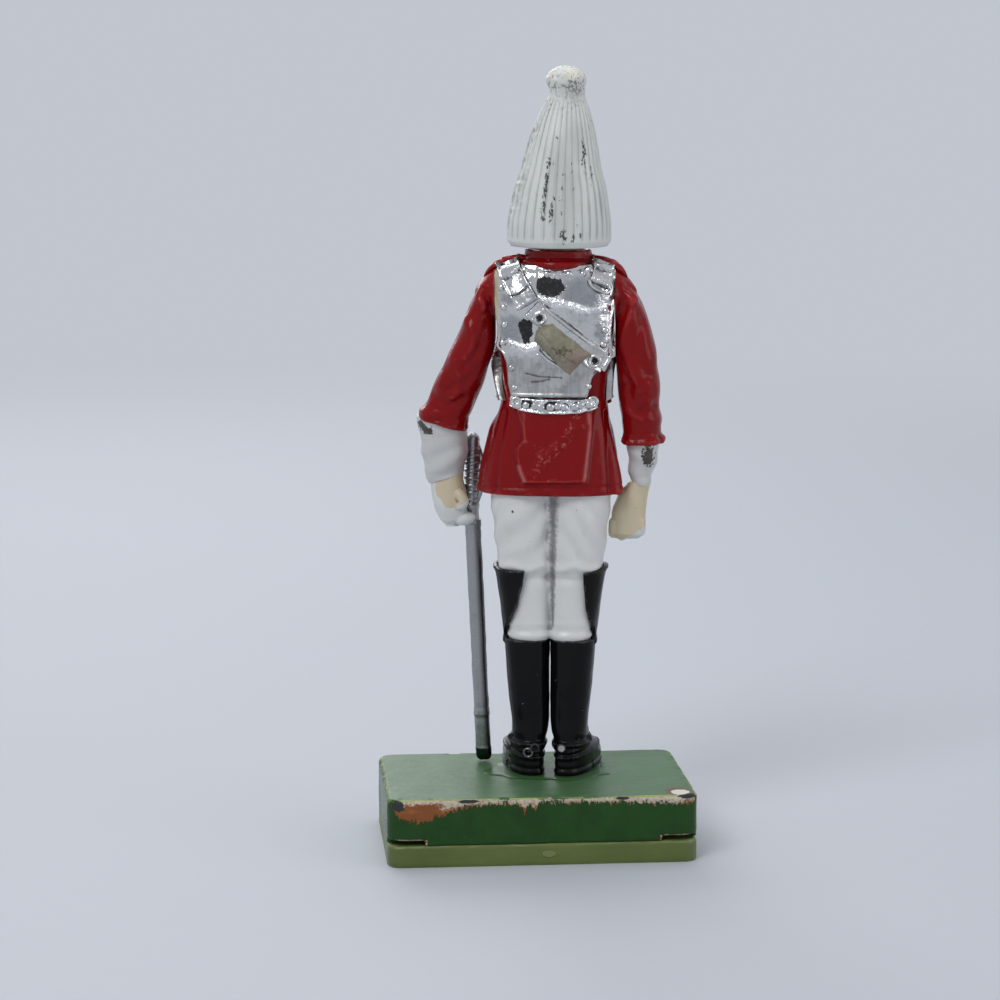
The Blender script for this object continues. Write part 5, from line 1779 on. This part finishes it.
class OBJECT_OT_soldier_stage(Piece, bpy.types.Operator):
    """Floor, backdrop, soft lamps and the camera"""
    bl_idname = "object.soldier_stage"
    bl_label = "Stage"

    def make(self, s, p):
        n = 96
        ring = [(3 * math.cos(2 * math.pi * i / n), 3 * math.sin(2 * math.pi * i / n), 0) for i in range(n)]
        mesh = bpy.data.meshes.new("floor")
        mesh.from_pydata(ring, [], [list(range(n))])
        floor = linked("floor", mesh)
        floor.data.materials.append(backdrop(p))
        for name, place, aim, power, wide, tall in (
                ("key lamp", (0.28, 0.34, 0.42), (0, 0, 0.045), 1.25, 0.24, 0.24),
                ("fill lamp", (-0.42, 0.22, 0.16), (0, 0, 0.04), 0.4, 0.3, 0.3),
                ("top lamp", (0.0, -0.1, 0.5), (0, 0, 0.04), 0.85, 0.3, 0.3),
                ("front lamp", (0.1, -0.45, 0.25), (0, 0, 0.045), 0.7, 0.3, 0.3)):
            lamp = bpy.data.lights.new(name, "AREA")
            lamp.shape, lamp.size, lamp.size_y, lamp.energy = "RECTANGLE", wide, tall, power
            obj = linked(name, lamp)
            obj.location = place
            obj.rotation_euler = (Vector(aim) - Vector(place)).to_track_quat("-Z", "Y").to_euler()
        world = bpy.data.worlds.new("room")
        bpy.context.scene.world = world
        world.use_nodes = True
        tree = world.node_tree
        tree.nodes.clear()
        new = tree.nodes.new
        path, rise, ramp = new("ShaderNodeLightPath"), new("ShaderNodeSeparateXYZ"), new("ShaderNodeValToRGB")
        tree.links.new(new("ShaderNodeTexCoord").outputs["Generated"], rise.inputs[0])
        while len(ramp.color_ramp.elements) < 5:
            ramp.color_ramp.elements.new(0.5)
        greys = ((0.0, 0.22), (0.46, 0.30), (0.55, 0.62), (0.66, 0.12), (1.0, 0.42))
        for stop, (at, grey) in zip(ramp.color_ramp.elements, greys):
            stop.position, stop.color = at, (grey, grey * 1.02, grey * 1.06, 1)
        half = new("ShaderNodeMapRange")
        half.inputs["From Min"].default_value = -1
        tree.links.new(rise.outputs["Z"], half.inputs["Value"])
        tree.links.new(half.outputs[0], ramp.inputs[0])
        soft, seen = new("ShaderNodeBackground"), new("ShaderNodeBackground")
        both, out = new("ShaderNodeMixShader"), new("ShaderNodeOutputWorld")
        tree.links.new(ramp.outputs[0], soft.inputs["Color"])
        seen.inputs["Color"].default_value = tuple(p.room) + (1.0,)
        sight = path.outputs["Is Camera Ray"]
        for ray in ("Is Glossy Ray", "Is Transmission Ray"):
            added = new("ShaderNodeMath")
            added.operation, added.use_clamp = "ADD", True
            tree.links.new(sight, added.inputs[0])
            tree.links.new(path.outputs[ray], added.inputs[1])
            sight = added.outputs[0]
        for i, socket in enumerate((sight, soft.outputs[0], seen.outputs[0])):
            tree.links.new(socket, both.inputs[i])
        tree.links.new(both.outputs[0], out.inputs[0])
        camera = bpy.data.cameras.new("camera")
        camera.lens, camera.sensor_width, camera.clip_start = CAMERA_LENS, 36.0, 0.01
        eye = linked("camera", camera)
        eye.location = CAMERA_PLACE * MM
        upright = CAMERA_AIM.to_track_quat("-Z", "Y").to_matrix()
        eye.rotation_euler = (upright @ Matrix.Rotation(math.radians(CAMERA_ROLL), 3, "Z")).to_euler()
        bpy.context.scene.camera = eye
        bpy.context.scene.view_settings.view_transform = "Standard"


PIECES = (OBJECT_OT_soldier_base, OBJECT_OT_soldier_boots, OBJECT_OT_soldier_breeches, OBJECT_OT_soldier_tunic,
          OBJECT_OT_soldier_cuirass, OBJECT_OT_soldier_straps, OBJECT_OT_soldier_belts, OBJECT_OT_soldier_head,
          OBJECT_OT_soldier_helmet, OBJECT_OT_soldier_plume, OBJECT_OT_soldier_arms, OBJECT_OT_soldier_sword,
          OBJECT_OT_soldier_stage)


class VIEW3D_PT_soldier(bpy.types.Panel):
    """Lists the soldier's sizes, colours and pieces"""
    bl_idname = "VIEW3D_PT_soldier"
    bl_label = "Toy soldier"
    bl_space_type = "VIEW_3D"
    bl_region_type = "UI"
    bl_category = "Soldier"

    def draw(self, context):
        for group in (sizes(context), paints(context)):
            box = self.layout.box()
            for key in group.bl_rna.properties.keys():
                if key not in ("rna_type", "name"):
                    box.prop(group, key)
        for piece in PIECES:
            self.layout.operator(piece.bl_idname)


def register():
    for group in (SoldierSizes, SoldierPaints) + PIECES + (VIEW3D_PT_soldier,):
        bpy.utils.register_class(group)
    bpy.types.Scene.soldier_sizes = bpy.props.PointerProperty(type=SoldierSizes)
    bpy.types.Scene.soldier_paints = bpy.props.PointerProperty(type=SoldierPaints)


def unregister():
    del bpy.types.Scene.soldier_sizes
    del bpy.types.Scene.soldier_paints
    for group in (VIEW3D_PT_soldier,) + PIECES[::-1] + (SoldierPaints, SoldierSizes):
        bpy.utils.unregister_class(group)


def main():
    register()
    for piece in PIECES:
        kind, name = piece.bl_idname.split(".")
        getattr(getattr(bpy.ops, kind), name)()


if __name__ == "__main__":
    main()
